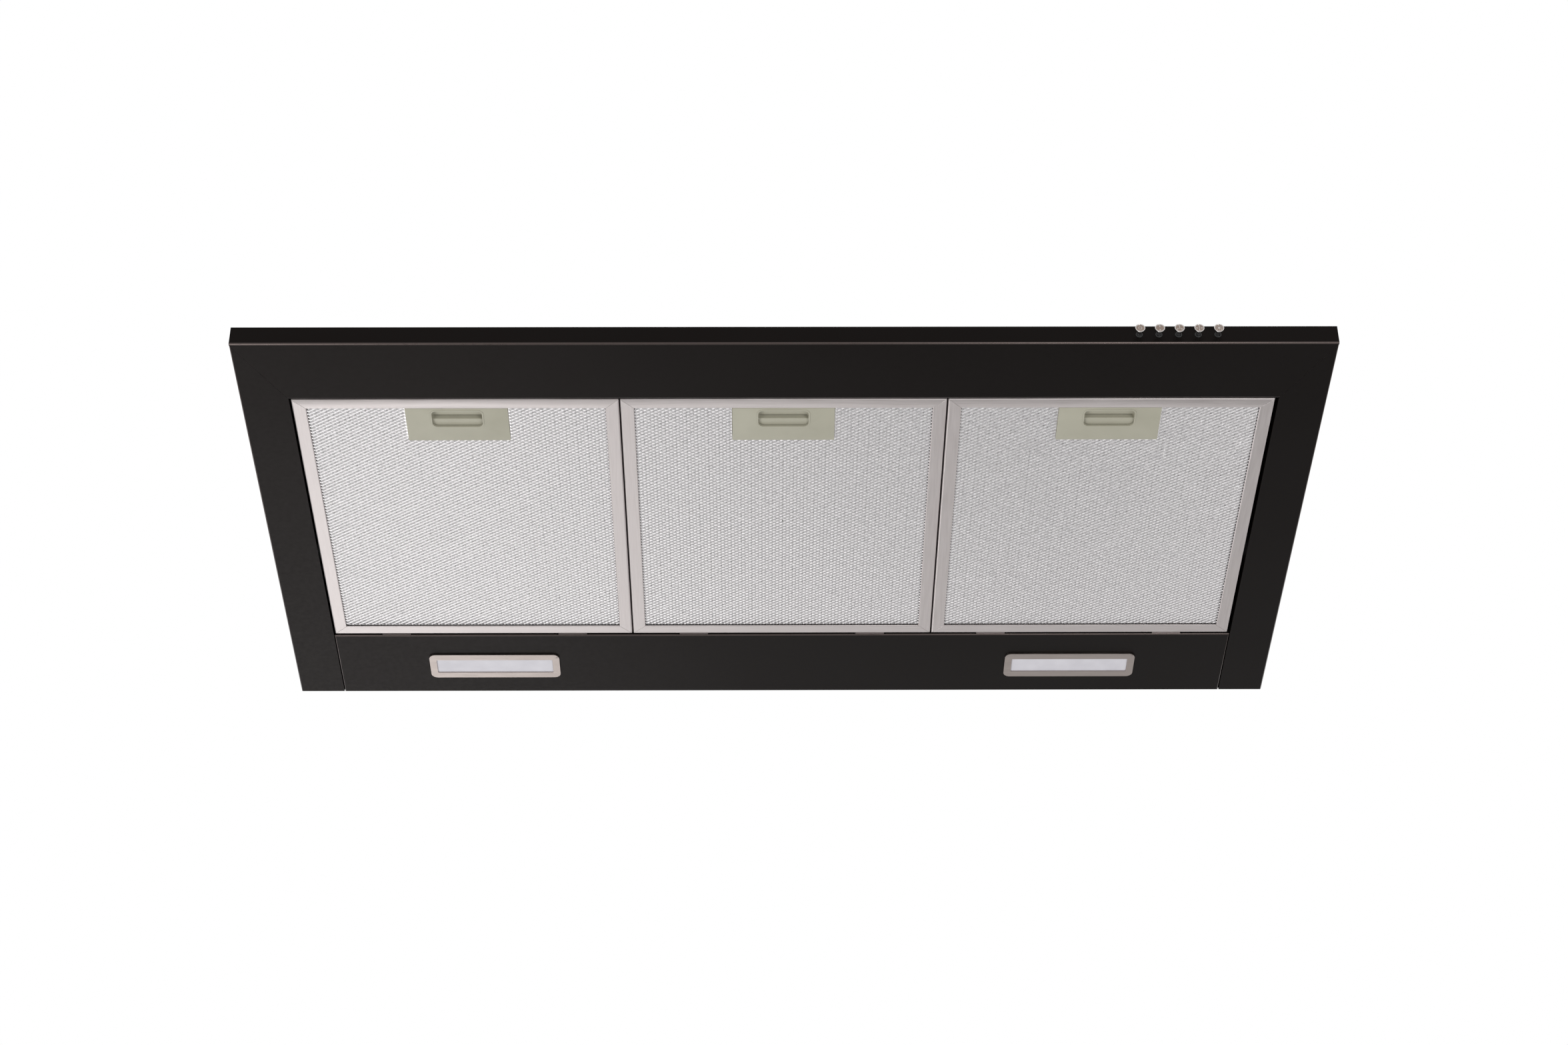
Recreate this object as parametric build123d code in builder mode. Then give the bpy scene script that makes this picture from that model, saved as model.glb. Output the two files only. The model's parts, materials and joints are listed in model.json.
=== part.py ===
"""Under cabinet range hood, 900 mm wide, in millimetres.

Frame: +X to the right, +Y to the wall, +Z up. The origin is the centre of the four cabinet screw slots,
on the top face. The underside of the rim is at z = -height.
"""

import math
import os

from build123d import *

os.makedirs("parts", exist_ok=True)

# ---- Overall sizes -------------------------------------------------------------------------------
width = 900.0
depth = 500.0
height = 130.0
top_depth = 340.0  # flat top, from the wall to the start of the sloping front
lip_height = 18.0  # upright front lip below the slope
sheet = 1.0  # painted steel sheet
bend = 1.6  # outer radius of a sheet bend
touch = 0.3  # gap between pieces that seat on each other loosely

back_y = top_depth / 2
front_y = back_y - depth
slope_y = -top_depth / 2  # where the slope meets the flat top
rim_z = -height
floor_z = rim_z + sheet  # upper face of the bottom strips

# ---- Underside: strips round the filter opening ---------------------------------------------------
front_strip = 70.0
side_strip = 40.0
lamp_strip = 91.0  # the lamp panel, behind the filters
return_height = 14.0  # upturned edges round the opening
mitre_gap = 0.3
strip_setback = 1.2  # the side strips end just short of the lamp panel's rear edge
flange = 15.0  # riveting flanges inside the shell
rear_flange = 5.5  # the shell's turned-down rear edge
lap = 5.0  # turned-down front edge of the shell, behind the fascia's lip
keeper_side = 3.0  # the keeper's windows are this much larger than a tongue, at each side
keeper_above = 1.5  # and above and below it

opening_half = width / 2 - side_strip
opening_front = front_y + front_strip
opening_rear = back_y - lamp_strip

# ---- Filters -------------------------------------------------------------------------------------
filter_names = ["left", "centre", "right"]
filter_gap = 0.9  # between neighbours
filter_gap_left = 1.6
filter_gap_right = 2.8
filter_gap_front = 1.0
filter_gap_rear = 3.0
filter_thick = 9.0
filter_border = 11.5  # visible width of the aluminium channel
filter_wall = 0.9
foil = 0.6  # one layer of expanded foil
filter_corner = 1.5
tab_width = 26.0
tab_thick = 1.2
tab_reach = 8.0  # how far a hinge tab stands behind the frame
tab_rise = 4.6  # from the rim up to where a tab leaves the frame
tab_inset = 55.0  # from the side of the frame to the middle of a tab
tab_play = 2.0  # room each side of a tab in its window
window_height = 11.0
hinge_behind = 1.3  # the hinge line, behind the frame's rear face
hinge_up = 2.0  # and above the rim

filter_span = 2 * opening_half - filter_gap_left - filter_gap_right
filter_width = (filter_span - (len(filter_names) - 1) * filter_gap) / len(filter_names)
filter_front = opening_front + filter_gap_front
filter_rear = opening_rear - filter_gap_rear
filter_depth = filter_rear - filter_front
filter_y = (filter_front + filter_rear) / 2
filter_first = -opening_half + filter_gap_left + filter_width / 2
filter_x = {name: filter_first + i * (filter_width + filter_gap) for i, name in enumerate(filter_names)}

# ---- Filter latches ------------------------------------------------------------------------------
latch_width = 85.5
latch_depth = 42.0
latch_floor = 1.6  # lower wall, with the finger slot
latch_side = 6.0
latch_front_wall = 2.6
latch_face = 0.4  # the face sits this far inside the raised rim of the slot
slot_width = 42.0
slot_depth = 20.5
slot_corner = 4.5
slot_front = 3.2  # from the latch's front to the slot
slot_rim = 1.2  # width of the raised rim
grip_step = 12.6  # from the slot's front to the face that the finger pulls
grip_deep = 3.6  # height of that face
grip_wall = 1.2
grip_round = 0.8
lug_reach, lug_length, lug_thick = 3.0, 12.0, 1.2
foot_x, foot_width = 22.0, 12.0
slide_travel = 4.5
slider_gap = 0.3
slider_length = 26.5
slider_thick = 3.1
tongue_width = 16.0
tongue_thick = 2.5
tongue_play = 0.4
tongue_short = 0.3  # the tongue's tip stops this far from the keeper's face
spring_leaf = 0.8
spring_width = 28.0
spring_height = 2.4

latch_front = filter_front + filter_border + touch
latch_y = latch_front + latch_depth / 2
slot_y = latch_front + slot_front + slot_depth / 2
cavity_front = latch_front + latch_front_wall
cavity_rear = latch_front + latch_depth - latch_front_wall
slider_front = cavity_front + slider_gap
slider_rear = slider_front + slider_length
slider_z = rim_z + latch_face + latch_floor + slider_gap
tongue_z = slider_z
cavity_half = latch_width / 2 - latch_side

# ---- Push buttons --------------------------------------------------------------------------------
button_names = ["off", "low", "medium", "high", "light"]
button_pitch = 16.0
button_inset = 130.0  # from the right side to the middle button
button_post = 1.75
button_cap = 4.1
button_cap_thick = 1.3
button_flare = 3.0
button_reach = 8.7  # how far a cap stands out of the lip
button_travel = 4.0
running = 0.07  # radial clearance of what slides or turns in a hole
bush_body = 2.9
bush_proud = 0.5
bush_length = 3.0
button_shaft = 2.5
switch_gap = 10.0  # from the lip's outer face to the switch bank
switch_depth = 24.0
switch_height = 15.0
switch_margin = 12.0  # beyond the outer buttons
plunger_depth = 3.0  # how far a post stands in the switch bank at rest
plunger_play = 1.0  # left behind a post that is pressed home
switch_pin_pitch = 5.0
switch_pin_width, switch_pin_height, switch_pin_length = 0.8, 2.8, 5.0

button_mid = width / 2 - button_inset
button_z = rim_z + lip_height / 2
button_x = {
    name: button_mid + (i - (len(button_names) - 1) / 2) * button_pitch for i, name in enumerate(button_names)
}

# ---- Lamps ---------------------------------------------------------------------------------------
lamp_x = 266.0
lamp_back = 43.5  # from the wall to the middle of a lamp
bezel_width, bezel_depth, bezel_corner = 120.0, 36.0, 6.0
bezel_proud = 1.5
lens_width, lens_depth, lens_corner = 107.0, 20.0, 1.0
lens_thick = 1.8
lens_lap = 1.3  # the lens runs this far under the bezel's edge
bezel_face = 0.9  # thickness of the bezel's edge in front of the lens
skirt_wall = 1.4
skirt_height = 5.0
lamp_tray_height = 20.0
tray_wall = 1.0
tray_margin = 2.0  # rim of a tray, and the chamfer along its top
board_width, board_depth, board_thick = 100.0, 14.0, 1.6
led_count, led_size, led_thick = 6, 3.0, 0.8

lamp_y = back_y - lamp_back

# ---- Duct: collar and damper ---------------------------------------------------------------------
duct_outer = 75.0  # radius that the duct slides over
duct_wall = 1.2
duct_height = 42.0
duct_rim = 13.0  # width of the flange round the duct
duct_behind = 7.0  # from the flange to the wall
duct_flange = duct_outer + duct_rim
duct_back = duct_flange + duct_behind  # from the wall to the duct's axis
seat_width = 2.8  # ledge of the top panel inside the collar
damper_pin_radius = 2.0
damper_roll = 3.0  # outer radius of a flap's rolled edge
damper_split = 0.8  # between the two rolled edges
flap_thick = 0.8
flap_gap = 1.2  # between a flap's rim and the collar

duct_y = back_y - duct_back
duct_inner = duct_outer - duct_wall
damper_z = touch + damper_roll
damper_x = damper_roll + damper_split / 2  # from the duct's axis to a pin

# ---- Blower --------------------------------------------------------------------------------------
steel = 1.2  # galvanised sheet of the blower
fan_radius = 84.0
fan_clearance = 8.0
blade_inner = 72.0
blade_inset = 1.5  # from the ring's edges to the blades
blade_count = 24
blade_thick = 1.2
blade_sweep = -8.0  # degrees from the blade's inner end to its outer end
blade_bow = -1.8  # degrees at its middle
scroll_step = 16.0  # side of the square on whose corners the scroll's arcs are centred
tongue_angle = 50.0
scroll_depth = 76.0  # from the top face to the inlet plate
scroll_gap = 3.0  # between the scroll and the outlet box
inlet_radius = 70.0
inlet_flare = 7.0
fan_top = 14.0  # below the top face
fan_bottom = 69.0
dish_outer, dish_inner, dish_bottom = 60.0, 52.0, 50.0
motor_radius = 44.0
motor_bottom = 45.0
motor_flange = 3.0  # thickness of its mounting flange, which stands out as far
motor_bell = 9.0  # height of the end bell with its boss
motor_shoulder = 10.0  # from the flange's rim in to the end bell's flat
shaft_radius = 4.0
hub_radius = 9.0
hub_length = 14.0
shaft_spare = 2.0  # thread beyond the nut
shaft_edge = 0.6
nut_height = 5.0
nut_across = 10.0
box_beside = 5.0  # the outlet box stands this far outside the duct at each side
box_before = 17.0  # and in front
box_half = duct_outer + box_beside
box_front = duct_outer + box_before
box_rear = duct_flange
box_corner = 12.0

arc_centre = scroll_step / 2
first_arc = fan_radius + fan_clearance + arc_centre * math.sqrt(2)
fan_x = -(box_half + scroll_gap + first_arc + arc_centre + steel)
fan_y = -20.0
outlet_outer_y = fan_y + arc_centre + first_arc + 3 * scroll_step
tongue_x = fan_x + arc_centre + first_arc * math.cos(math.radians(tongue_angle))
tongue_y = fan_y - arc_centre + first_arc * math.sin(math.radians(tongue_angle))
scroll_top = -sheet
scroll_floor = -scroll_depth

# ---- Electrical pieces ---------------------------------------------------------------------------
junction_x, junction_y = 180.0, 0.0
junction_width, junction_length, junction_height = 150.0, 120.0, 44.0
grommet_hole = 11.0
grommet_bore = 6.0
grommet_lip = 14.0
grommet_rise = 2.0
driver_gap = 20.0  # beside the junction box
driver_width, driver_length, driver_height = 70.0, 38.0, 24.0
capacitor_radius, capacitor_length = 15.0, 52.0
terminal_width, terminal_length, terminal_height = 46.0, 20.0, 16.0
terminal_ways = 3
wire_way = 5.0  # square way for a wire
screw_well = 4.0  # square well for its screw
driver_edge = 1.5

# ---- Fasteners and cabinet slots -----------------------------------------------------------------
screw_inset = 60.0  # from the side of the hood to a cabinet slot
screw_spacing_y = 240.0
cabinet_slot = 16.0
cabinet_slot_width = 6.5
screw_radius = 2.0
screw_across = 7.0  # across the flats of the hexagonal head
screw_head_high = 1.6
screw_length = 6.0
screw_hole = 2.1
cover_inset = 8.0  # from the junction box's outline to a cover screw

cabinet_x = width - 2 * screw_inset


def save(piece, name):
    """Label a finished piece and write it as its own STEP file."""
    piece.part.label = name
    export_step(piece.part, f"parts/{name}.step")


def screw_group(places, head_plane_z=0.0):
    """Hexagon-head screws, pointing down, with their heads standing on head_plane_z."""
    with BuildPart() as screws:
        with BuildSketch(Plane.XY.offset(head_plane_z)):
            with Locations(*places):
                RegularPolygon(screw_across / 2, 6, major_radius=False)
        extrude(amount=screw_head_high)
        with BuildSketch(Plane.XY.offset(head_plane_z)):
            with Locations(*places):
                Circle(screw_radius)
        extrude(amount=-screw_length)
    return screws


def ring_of_places(x, y, radius, angles):
    """Points on a circle round (x, y), at angles in degrees."""
    return [(x + radius * math.cos(math.radians(a)), y + radius * math.sin(math.radians(a))) for a in angles]


# ---- Places shared by pieces that screw together -------------------------------------------------
cabinet_places = [(sx * cabinet_x / 2, sy * screw_spacing_y / 2) for sx in (-1, 1) for sy in (-1, 1)]
collar_places = ring_of_places(0, duct_y, (duct_outer + duct_flange) / 2, (30, 150, 270))
blower_places = ring_of_places(fan_x, fan_y, (fan_radius + motor_radius) / 2, (90, 210, 330))
junction_places = [
    (junction_x + side * (junction_width / 2 - cover_inset), junction_y) for side in (-1, 1)
]
tab_x = {
    name: [filter_x[name] - filter_width / 2 + tab_inset, filter_x[name] + filter_width / 2 - tab_inset]
    for name in filter_names
}

# ==== Shell =======================================================================================
# The sloping front, the top and a short rear flange are one folded sheet. Its front edge turns down
# behind the fascia's lip.
shell_corners = [
    (front_y, rim_z + lip_height),
    (slope_y, 0),
    (back_y, 0),
]
slope_rise = lip_height + rim_z
slope_lap_z = rim_z + lip_height + sheet * (0 - slope_rise) / (slope_y - front_y)
with BuildPart() as canopy_shell:
    with BuildSketch(Plane.YZ):
        with BuildLine():
            FilletPolyline(*shell_corners, (back_y, -rear_flange), radius=bend)
            offset(amount=sheet, side=Side.RIGHT)
        make_face()
        with Locations((front_y, rim_z + lip_height)):
            Rectangle(2 * sheet, 4 * sheet, mode=Mode.SUBTRACT)
    extrude(amount=width / 2, both=True)
    # The lap stops short of the side walls.
    with BuildSketch(Plane.XZ.offset(-(front_y + sheet))):
        with Locations((0, slope_lap_z - sheet / 2 - lap / 2)):
            Rectangle(width - 2 * (sheet + touch), lap)
    extrude(amount=-sheet)
    # Duct opening, cable hole, cabinet slots and screw holes in the top.
    with BuildSketch(Plane.XY):
        with Locations((0, duct_y)):
            Circle(duct_inner - seat_width)
        with Locations((junction_x, junction_y)):
            Circle(grommet_hole)
        with Locations(*cabinet_places):
            SlotOverall(cabinet_slot, cabinet_slot_width)
        with Locations(*collar_places, *blower_places, *junction_places):
            Circle(screw_hole)
    extrude(amount=-2 * sheet, mode=Mode.SUBTRACT)
save(canopy_shell, "canopy_shell")

# The fascia is a second folded sheet: return edge of the opening, front strip and upright lip. It is
# mitred where the side panels' strips meet the front strip.
with BuildPart() as front_fascia:
    with BuildSketch(Plane.YZ):
        with BuildLine():
            FilletPolyline(
                (opening_front, rim_z + return_height),
                (opening_front, rim_z),
                (front_y, rim_z),
                (front_y, rim_z + lip_height),
                radius=bend,
            )
            offset(amount=sheet, side=Side.RIGHT)
        make_face()
    extrude(amount=width / 2, both=True)
    # Mitres at the two front corners.
    with BuildSketch(Plane.XY.offset(rim_z)):
        for side in (-1, 1):
            with BuildLine():
                Polyline(
                    (side * (width / 2 + sheet), front_y + bend),
                    (side * width / 2, front_y + bend),
                    (side * opening_half, opening_front),
                    (side * opening_half, opening_front + sheet),
                    (side * (width / 2 + sheet), opening_front + sheet),
                    close=True,
                )
            make_face()
    extrude(amount=return_height + sheet, mode=Mode.SUBTRACT)
    # Keeper windows for the filter latches.
    with BuildSketch(Plane.XZ.offset(-opening_front)):
        for x in filter_x.values():
            with Locations((x, tongue_z + tongue_thick / 2)):
                Rectangle(tongue_width + 2 * keeper_side, tongue_thick + 2 * keeper_above)
    extrude(amount=2 * sheet, both=True, mode=Mode.SUBTRACT)
    # Holes for the button bushes.
    with BuildSketch(Plane.XZ.offset(-front_y)):
        for x in button_x.values():
            with Locations((x, button_z)):
                Circle(bush_body)
    extrude(amount=2 * sheet, both=True, mode=Mode.SUBTRACT)
save(front_fascia, "front_fascia")


def side_panel(side):
    """Side wall with its bottom strip, the upturned edge of the opening and two riveting flanges."""
    outer = side * width / 2
    inner = side * (width / 2 - sheet)
    with BuildPart() as panel:
        # The wall fills the folded shell's side.
        with BuildSketch(Plane.YZ.offset(outer)):
            with BuildLine():
                FilletPolyline((front_y, rim_z), *shell_corners, (back_y, rim_z), radius=bend, close=True)
            make_face()
            offset(amount=-sheet)
        extrude(amount=-side * sheet)
        with BuildSketch(Plane.XY.offset(rim_z)):
            with BuildLine():
                Polyline(
                    (outer, front_y + bend + mitre_gap),
                    (side * opening_half, opening_front + mitre_gap),
                    (side * opening_half, back_y - strip_setback),
                    (outer, back_y - strip_setback),
                    close=True,
                )
            make_face()
        extrude(amount=sheet)
        fillet(
            panel.edges().filter_by(Axis.Y).group_by(Axis.Z)[0].sort_by(Axis.X)[0 if side < 0 else -1],
            bend - sheet / 2,
        )
        # Upturned edge beside the filters and the lamp panel.
        with BuildSketch(Plane.XY.offset(rim_z)):
            with BuildLine():
                Polyline(
                    (side * opening_half, opening_front + mitre_gap),
                    (side * (opening_half + sheet), opening_front + mitre_gap),
                    (side * (opening_half + sheet), back_y - 3 * sheet),
                    (side * opening_half, back_y - 3 * sheet),
                    close=True,
                )
            make_face()
        extrude(amount=return_height)
        # Riveting flanges under the top and in front of the back panel.
        with BuildSketch(Plane.XY.offset(-sheet)):
            with Locations((inner - side * flange / 2, 0)):
                Rectangle(flange, top_depth - 4 * flange)
        extrude(amount=-sheet)
        with BuildSketch(Plane.XZ.offset(-(back_y - 2 * sheet))):
            with Locations((inner - side * flange / 2, rim_z / 2)):
                Rectangle(flange, height - 2 * flange)
        extrude(amount=sheet)
    return panel


side_panel_left = side_panel(-1)
save(side_panel_left, "side_panel_left")
side_panel_right = side_panel(1)
save(side_panel_right, "side_panel_right")

# The back panel stands inside the shell's rear flange, on the lamp panel's rear bend.
back_bottom = floor_z + bend - sheet
with BuildPart() as back_panel:
    with BuildSketch(Plane.XZ.offset(-(back_y - sheet))):
        with Locations((0, (back_bottom - 2 * sheet) / 2)):
            Rectangle(width - 2 * sheet, -2 * sheet - back_bottom)
    extrude(amount=sheet)
save(back_panel, "back_panel")

# The lamp panel is a folded tray between the side strips, with low walls in front and windows in its
# front wall for the filters' hinge tabs.
lamp_panel_half = opening_half - touch
lamp_wall_rear = 25.0
with BuildPart() as lamp_panel:
    with BuildSketch(Plane.XY.offset(rim_z)):
        with Locations((0, (opening_rear + back_y) / 2)):
            Rectangle(2 * lamp_panel_half, lamp_strip)
    extrude(amount=lamp_wall_rear)
    fillet(lamp_panel.faces().sort_by(Axis.Z)[0].edges(), bend)
    offset(amount=-sheet, openings=lamp_panel.faces().sort_by(Axis.Z)[-1])
    # The front and side walls are lower than the rear one, and stop short of the back panel.
    with BuildSketch(Plane.XY.offset(rim_z + return_height)):
        with Locations((0, (opening_rear + back_y) / 2 - sheet)):
            Rectangle(2 * lamp_panel_half, lamp_strip)
    extrude(amount=lamp_wall_rear, mode=Mode.SUBTRACT)
    with BuildSketch(Plane.XY.offset(back_bottom)):
        with Locations((0, back_y - 1.5 * sheet - touch / 2)):
            Rectangle(2 * lamp_panel_half, sheet + touch)
    extrude(amount=return_height, mode=Mode.SUBTRACT)
    with BuildSketch(Plane.XZ.offset(-opening_rear)):
        for places in tab_x.values():
            for x in places:
                with Locations((x, floor_z + window_height / 2)):
                    Rectangle(tab_width + 2 * tab_play, window_height)
    extrude(amount=2 * sheet, both=True, mode=Mode.SUBTRACT)
    with BuildSketch(Plane.XY.offset(rim_z)):
        for side in (-1, 1):
            with Locations((side * lamp_x, lamp_y)):
                Rectangle(
                    lens_width + 2 * (lens_lap + skirt_wall + touch),
                    lens_depth + 2 * (lens_lap + skirt_wall + touch),
                )
    extrude(amount=2 * sheet, both=True, mode=Mode.SUBTRACT)
save(lamp_panel, "lamp_panel")

# ==== Filters =====================================================================================
# Each cassette is an aluminium channel folded round layers of expanded foil, with two hinge tabs at
# the rear and a latch behind its front border.
def filter_frame(x, tabs):
    with BuildPart() as frame:
        with BuildSketch(Plane.XY.offset(rim_z)):
            with Locations((x, filter_y)):
                RectangleRounded(filter_width, filter_depth, filter_corner)
                Rectangle(
                    filter_width - 2 * filter_border,
                    filter_depth - 2 * filter_border,
                    mode=Mode.SUBTRACT,
                )
        extrude(amount=filter_thick)
        # The channel's groove, which grips the foil.
        with BuildSketch(Plane.XY.offset(rim_z + filter_wall)):
            with Locations((x, filter_y)):
                Rectangle(filter_width - 2 * filter_wall, filter_depth - 2 * filter_wall)
        extrude(amount=filter_thick - 2 * filter_wall, mode=Mode.SUBTRACT)
        # Slot for the latch tongue.
        with BuildSketch(Plane.XZ.offset(-filter_front)):
            with Locations((x, tongue_z + tongue_thick / 2)):
                Rectangle(tongue_width + 2 * tongue_play, tongue_thick + 2 * tongue_play)
        extrude(amount=2 * filter_wall, both=True, mode=Mode.SUBTRACT)
        # Hinge tabs leave the rear wall above the rim, and their feet stand on the lamp panel's edge.
        with BuildSketch(Plane.XY.offset(rim_z + tab_rise)):
            for tab in tabs:
                with Locations((tab, filter_rear + (tab_reach - filter_wall) / 2)):
                    Rectangle(tab_width, tab_reach + filter_wall)
        extrude(amount=tab_thick)
        with BuildSketch(Plane.XY.offset(floor_z + touch)):
            for tab in tabs:
                with Locations((tab, filter_rear + tab_reach - tab_thick / 2)):
                    Rectangle(tab_width, tab_thick)
        extrude(amount=tab_rise - sheet - touch)
    return frame


def filter_foil(x):
    """Two layers of foil, against the channel's lower and upper lips, cut out round the latch."""
    with BuildPart() as layers:
        for level in (rim_z + filter_wall, rim_z + filter_thick - filter_wall - foil):
            with BuildSketch(Plane.XY.offset(level)):
                with Locations((x, filter_y)):
                    Rectangle(
                        filter_width - 2 * (filter_wall + touch), filter_depth - 2 * (filter_wall + touch)
                    )
                with Locations((x, latch_y - filter_border)):
                    Rectangle(
                        latch_width + 2 * touch,
                        latch_depth + 2 * (touch + filter_border),
                        mode=Mode.SUBTRACT,
                    )
            extrude(amount=foil)
    return layers


def latch_housing(x):
    """Moulded housing, open above, with a finger slot below and two feet in the frame's groove."""
    with BuildPart() as housing:
        with BuildSketch(Plane.XY.offset(rim_z + latch_face)):
            with Locations((x, latch_y)):
                Rectangle(latch_width, latch_depth)
        extrude(amount=filter_thick - latch_face)
        # Raised rim round the finger slot.
        with BuildSketch(Plane.XY.offset(rim_z)):
            with Locations((x, slot_y)):
                RectangleRounded(slot_width + 2 * slot_rim, slot_depth + 2 * slot_rim, slot_corner + slot_rim)
        extrude(amount=latch_face)
        # Cavity for the slider and its spring.
        with BuildSketch(Plane.XY.offset(rim_z + latch_face + latch_floor)):
            with Locations((x, (cavity_front + cavity_rear) / 2)):
                Rectangle(2 * cavity_half, cavity_rear - cavity_front)
        extrude(amount=filter_thick, mode=Mode.SUBTRACT)
        with BuildSketch(Plane.XY.offset(rim_z)):
            with Locations((x, slot_y)):
                RectangleRounded(slot_width, slot_depth, slot_corner)
        extrude(amount=latch_face + latch_floor, mode=Mode.SUBTRACT)
        # Passage for the tongue.
        with BuildSketch(Plane.XZ.offset(-cavity_front)):
            with Locations((x, tongue_z + tongue_thick / 2)):
                Rectangle(tongue_width + 2 * tongue_play, tongue_thick + 2 * tongue_play)
        extrude(amount=2 * latch_front_wall, both=True, mode=Mode.SUBTRACT)
        # Lugs that keep the slider down.
        with BuildSketch(Plane.XY.offset(slider_z + slider_thick + touch)):
            for side in (-1, 1):
                with Locations((x + side * (cavity_half - lug_reach / 2), slot_y)):
                    Rectangle(lug_reach, lug_length)
        extrude(amount=lug_thick)
        # Feet in the frame's groove, either side of the tongue.
        foot_depth = latch_front - filter_front - filter_wall - touch
        with BuildSketch(Plane.XY.offset(rim_z + filter_wall + touch)):
            for side in (-1, 1):
                with Locations((x + side * foot_x, latch_front - foot_depth / 2)):
                    Rectangle(foot_width, foot_depth)
        extrude(amount=filter_thick - 2 * (filter_wall + touch))
    return housing


def latch_slider(x):
    """Sliding plate with a finger grip, and a tongue that reaches through the frame to the keeper."""
    grip_y = latch_front + slot_front + grip_step
    hump_rear = grip_y + grip_wall
    with BuildPart() as slider:
        with BuildSketch(Plane.XY.offset(slider_z)):
            with Locations((x, (slider_front + slider_rear) / 2)):
                Rectangle(2 * (cavity_half - slider_gap), slider_length)
        extrude(amount=slider_thick)
        # Hump over the finger grip.
        with BuildSketch(Plane.XY.offset(slider_z)):
            with Locations((x, (slider_front + hump_rear) / 2)):
                Rectangle(slot_width + 2 * grip_wall, hump_rear - slider_front)
        extrude(amount=grip_deep + grip_wall)
        # The tongue.
        tip = opening_front + tongue_short
        with BuildSketch(Plane.XY.offset(tongue_z)):
            with Locations((x, (tip + slider_front) / 2)):
                Rectangle(tongue_width, slider_front - tip)
        extrude(amount=tongue_thick)
        chamfer(slider.edges().filter_by(Axis.X).group_by(Axis.Y)[0].sort_by(Axis.Z)[0], tongue_thick / 3)
        # The scoop in front of the grip deepens towards the face that the finger pulls.
        with BuildSketch(Plane.YZ.offset(x)):
            with BuildLine():
                Polyline(
                    (slider_front - touch, slider_z - touch),
                    (grip_y, slider_z - touch),
                    (grip_y, slider_z + grip_deep),
                    (slider_front - touch, slider_z + touch),
                    close=True,
                )
            make_face()
        extrude(amount=slot_width / 2, both=True, mode=Mode.SUBTRACT)
        grip_edges = slider.edges().filter_by(Axis.X).filter_by_position(Axis.Y, grip_y - 0.01, grip_y + 0.01)
        fillet(grip_edges.sort_by(Axis.Z)[0], grip_round)
    return slider


def latch_spring(x):
    """Bowed leaf spring between the slider and the back of the housing."""
    bow_front = slider_rear + touch
    bow_rear = cavity_rear - touch
    with BuildPart() as spring:
        with BuildSketch(Plane.XY.offset(slider_z)):
            with BuildLine():
                ThreePointArc(
                    (x - spring_width / 2, bow_rear), (x, bow_front), (x + spring_width / 2, bow_rear)
                )
                ThreePointArc(
                    (x + spring_width / 2 - spring_leaf, bow_rear),
                    (x, bow_front + spring_leaf),
                    (x - spring_width / 2 + spring_leaf, bow_rear),
                )
                for side in (-1, 1):
                    Line(
                        (x + side * spring_width / 2, bow_rear),
                        (x + side * (spring_width / 2 - spring_leaf), bow_rear),
                    )
            make_face()
        extrude(amount=spring_height)
    return spring


for name, x in filter_x.items():
    save(filter_frame(x, tab_x[name]), f"filter_frame_{name}")
    save(filter_foil(x), f"filter_mesh_{name}")
    save(latch_housing(x), f"latch_housing_{name}")
    save(latch_slider(x), f"latch_slider_{name}")
    save(latch_spring(x), f"latch_spring_{name}")


# ==== Push buttons ================================================================================
def push_button(x):
    """Chrome post that flares into a round cap, on a thicker shaft that stops behind the bush."""
    cap_y = front_y - button_reach
    stop_y = front_y + bush_length + touch
    end_y = front_y + switch_gap + plunger_depth
    with BuildPart() as button:
        with BuildSketch(Plane((x, 0, button_z), x_dir=(1, 0, 0), z_dir=(0, 0, 1))):
            with BuildLine():
                Polyline(
                    (0, cap_y),
                    (button_cap, cap_y),
                    (button_cap, cap_y + button_cap_thick),
                    (button_post, cap_y + button_cap_thick + button_flare),
                    (button_post, stop_y),
                    (button_shaft, stop_y),
                    (button_shaft, end_y),
                    (0, end_y),
                    close=True,
                )
            make_face()
        revolve(axis=Axis((x, 0, button_z), (0, 1, 0)))
    return button


for name, x in button_x.items():
    save(push_button(x), f"button_{name}")

# Guide bushes, pressed into the lip and standing a little proud of it.
with BuildPart() as button_bushes:
    with BuildSketch(Plane.XZ.offset(-(front_y - bush_proud))):
        for x in button_x.values():
            with Locations((x, button_z)):
                Circle(bush_body)
                Circle(button_post + running, mode=Mode.SUBTRACT)
    extrude(amount=-(bush_length + bush_proud))
save(button_bushes, "button_bushes")

# The switch bank stands on the front strip and takes the five posts.
switch_width = (len(button_names) - 1) * button_pitch + 2 * switch_margin
switch_front = front_y + switch_gap
with BuildPart() as switch_bank:
    with BuildSketch(Plane.XY.offset(floor_z)):
        with Locations((button_mid, switch_front + switch_depth / 2)):
            Rectangle(switch_width, switch_depth)
    extrude(amount=switch_height)
    # Rows of terminals behind.
    with BuildSketch(Plane.XZ.offset(-(switch_front + switch_depth))):
        for x in button_x.values():
            with Locations((x, floor_z + switch_height / 2)):
                with GridLocations(switch_pin_pitch, 0, 2, 1):
                    Rectangle(switch_pin_width, switch_pin_height)
    extrude(amount=-switch_pin_length)
    with BuildSketch(Plane.XZ.offset(-switch_front)):
        for x in button_x.values():
            with Locations((x, button_z)):
                Rectangle(2 * (button_shaft + running), 2 * (button_shaft + running))
    extrude(amount=-(plunger_depth + button_travel + plunger_play), mode=Mode.SUBTRACT)
save(switch_bank, "switch_bank")


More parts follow.
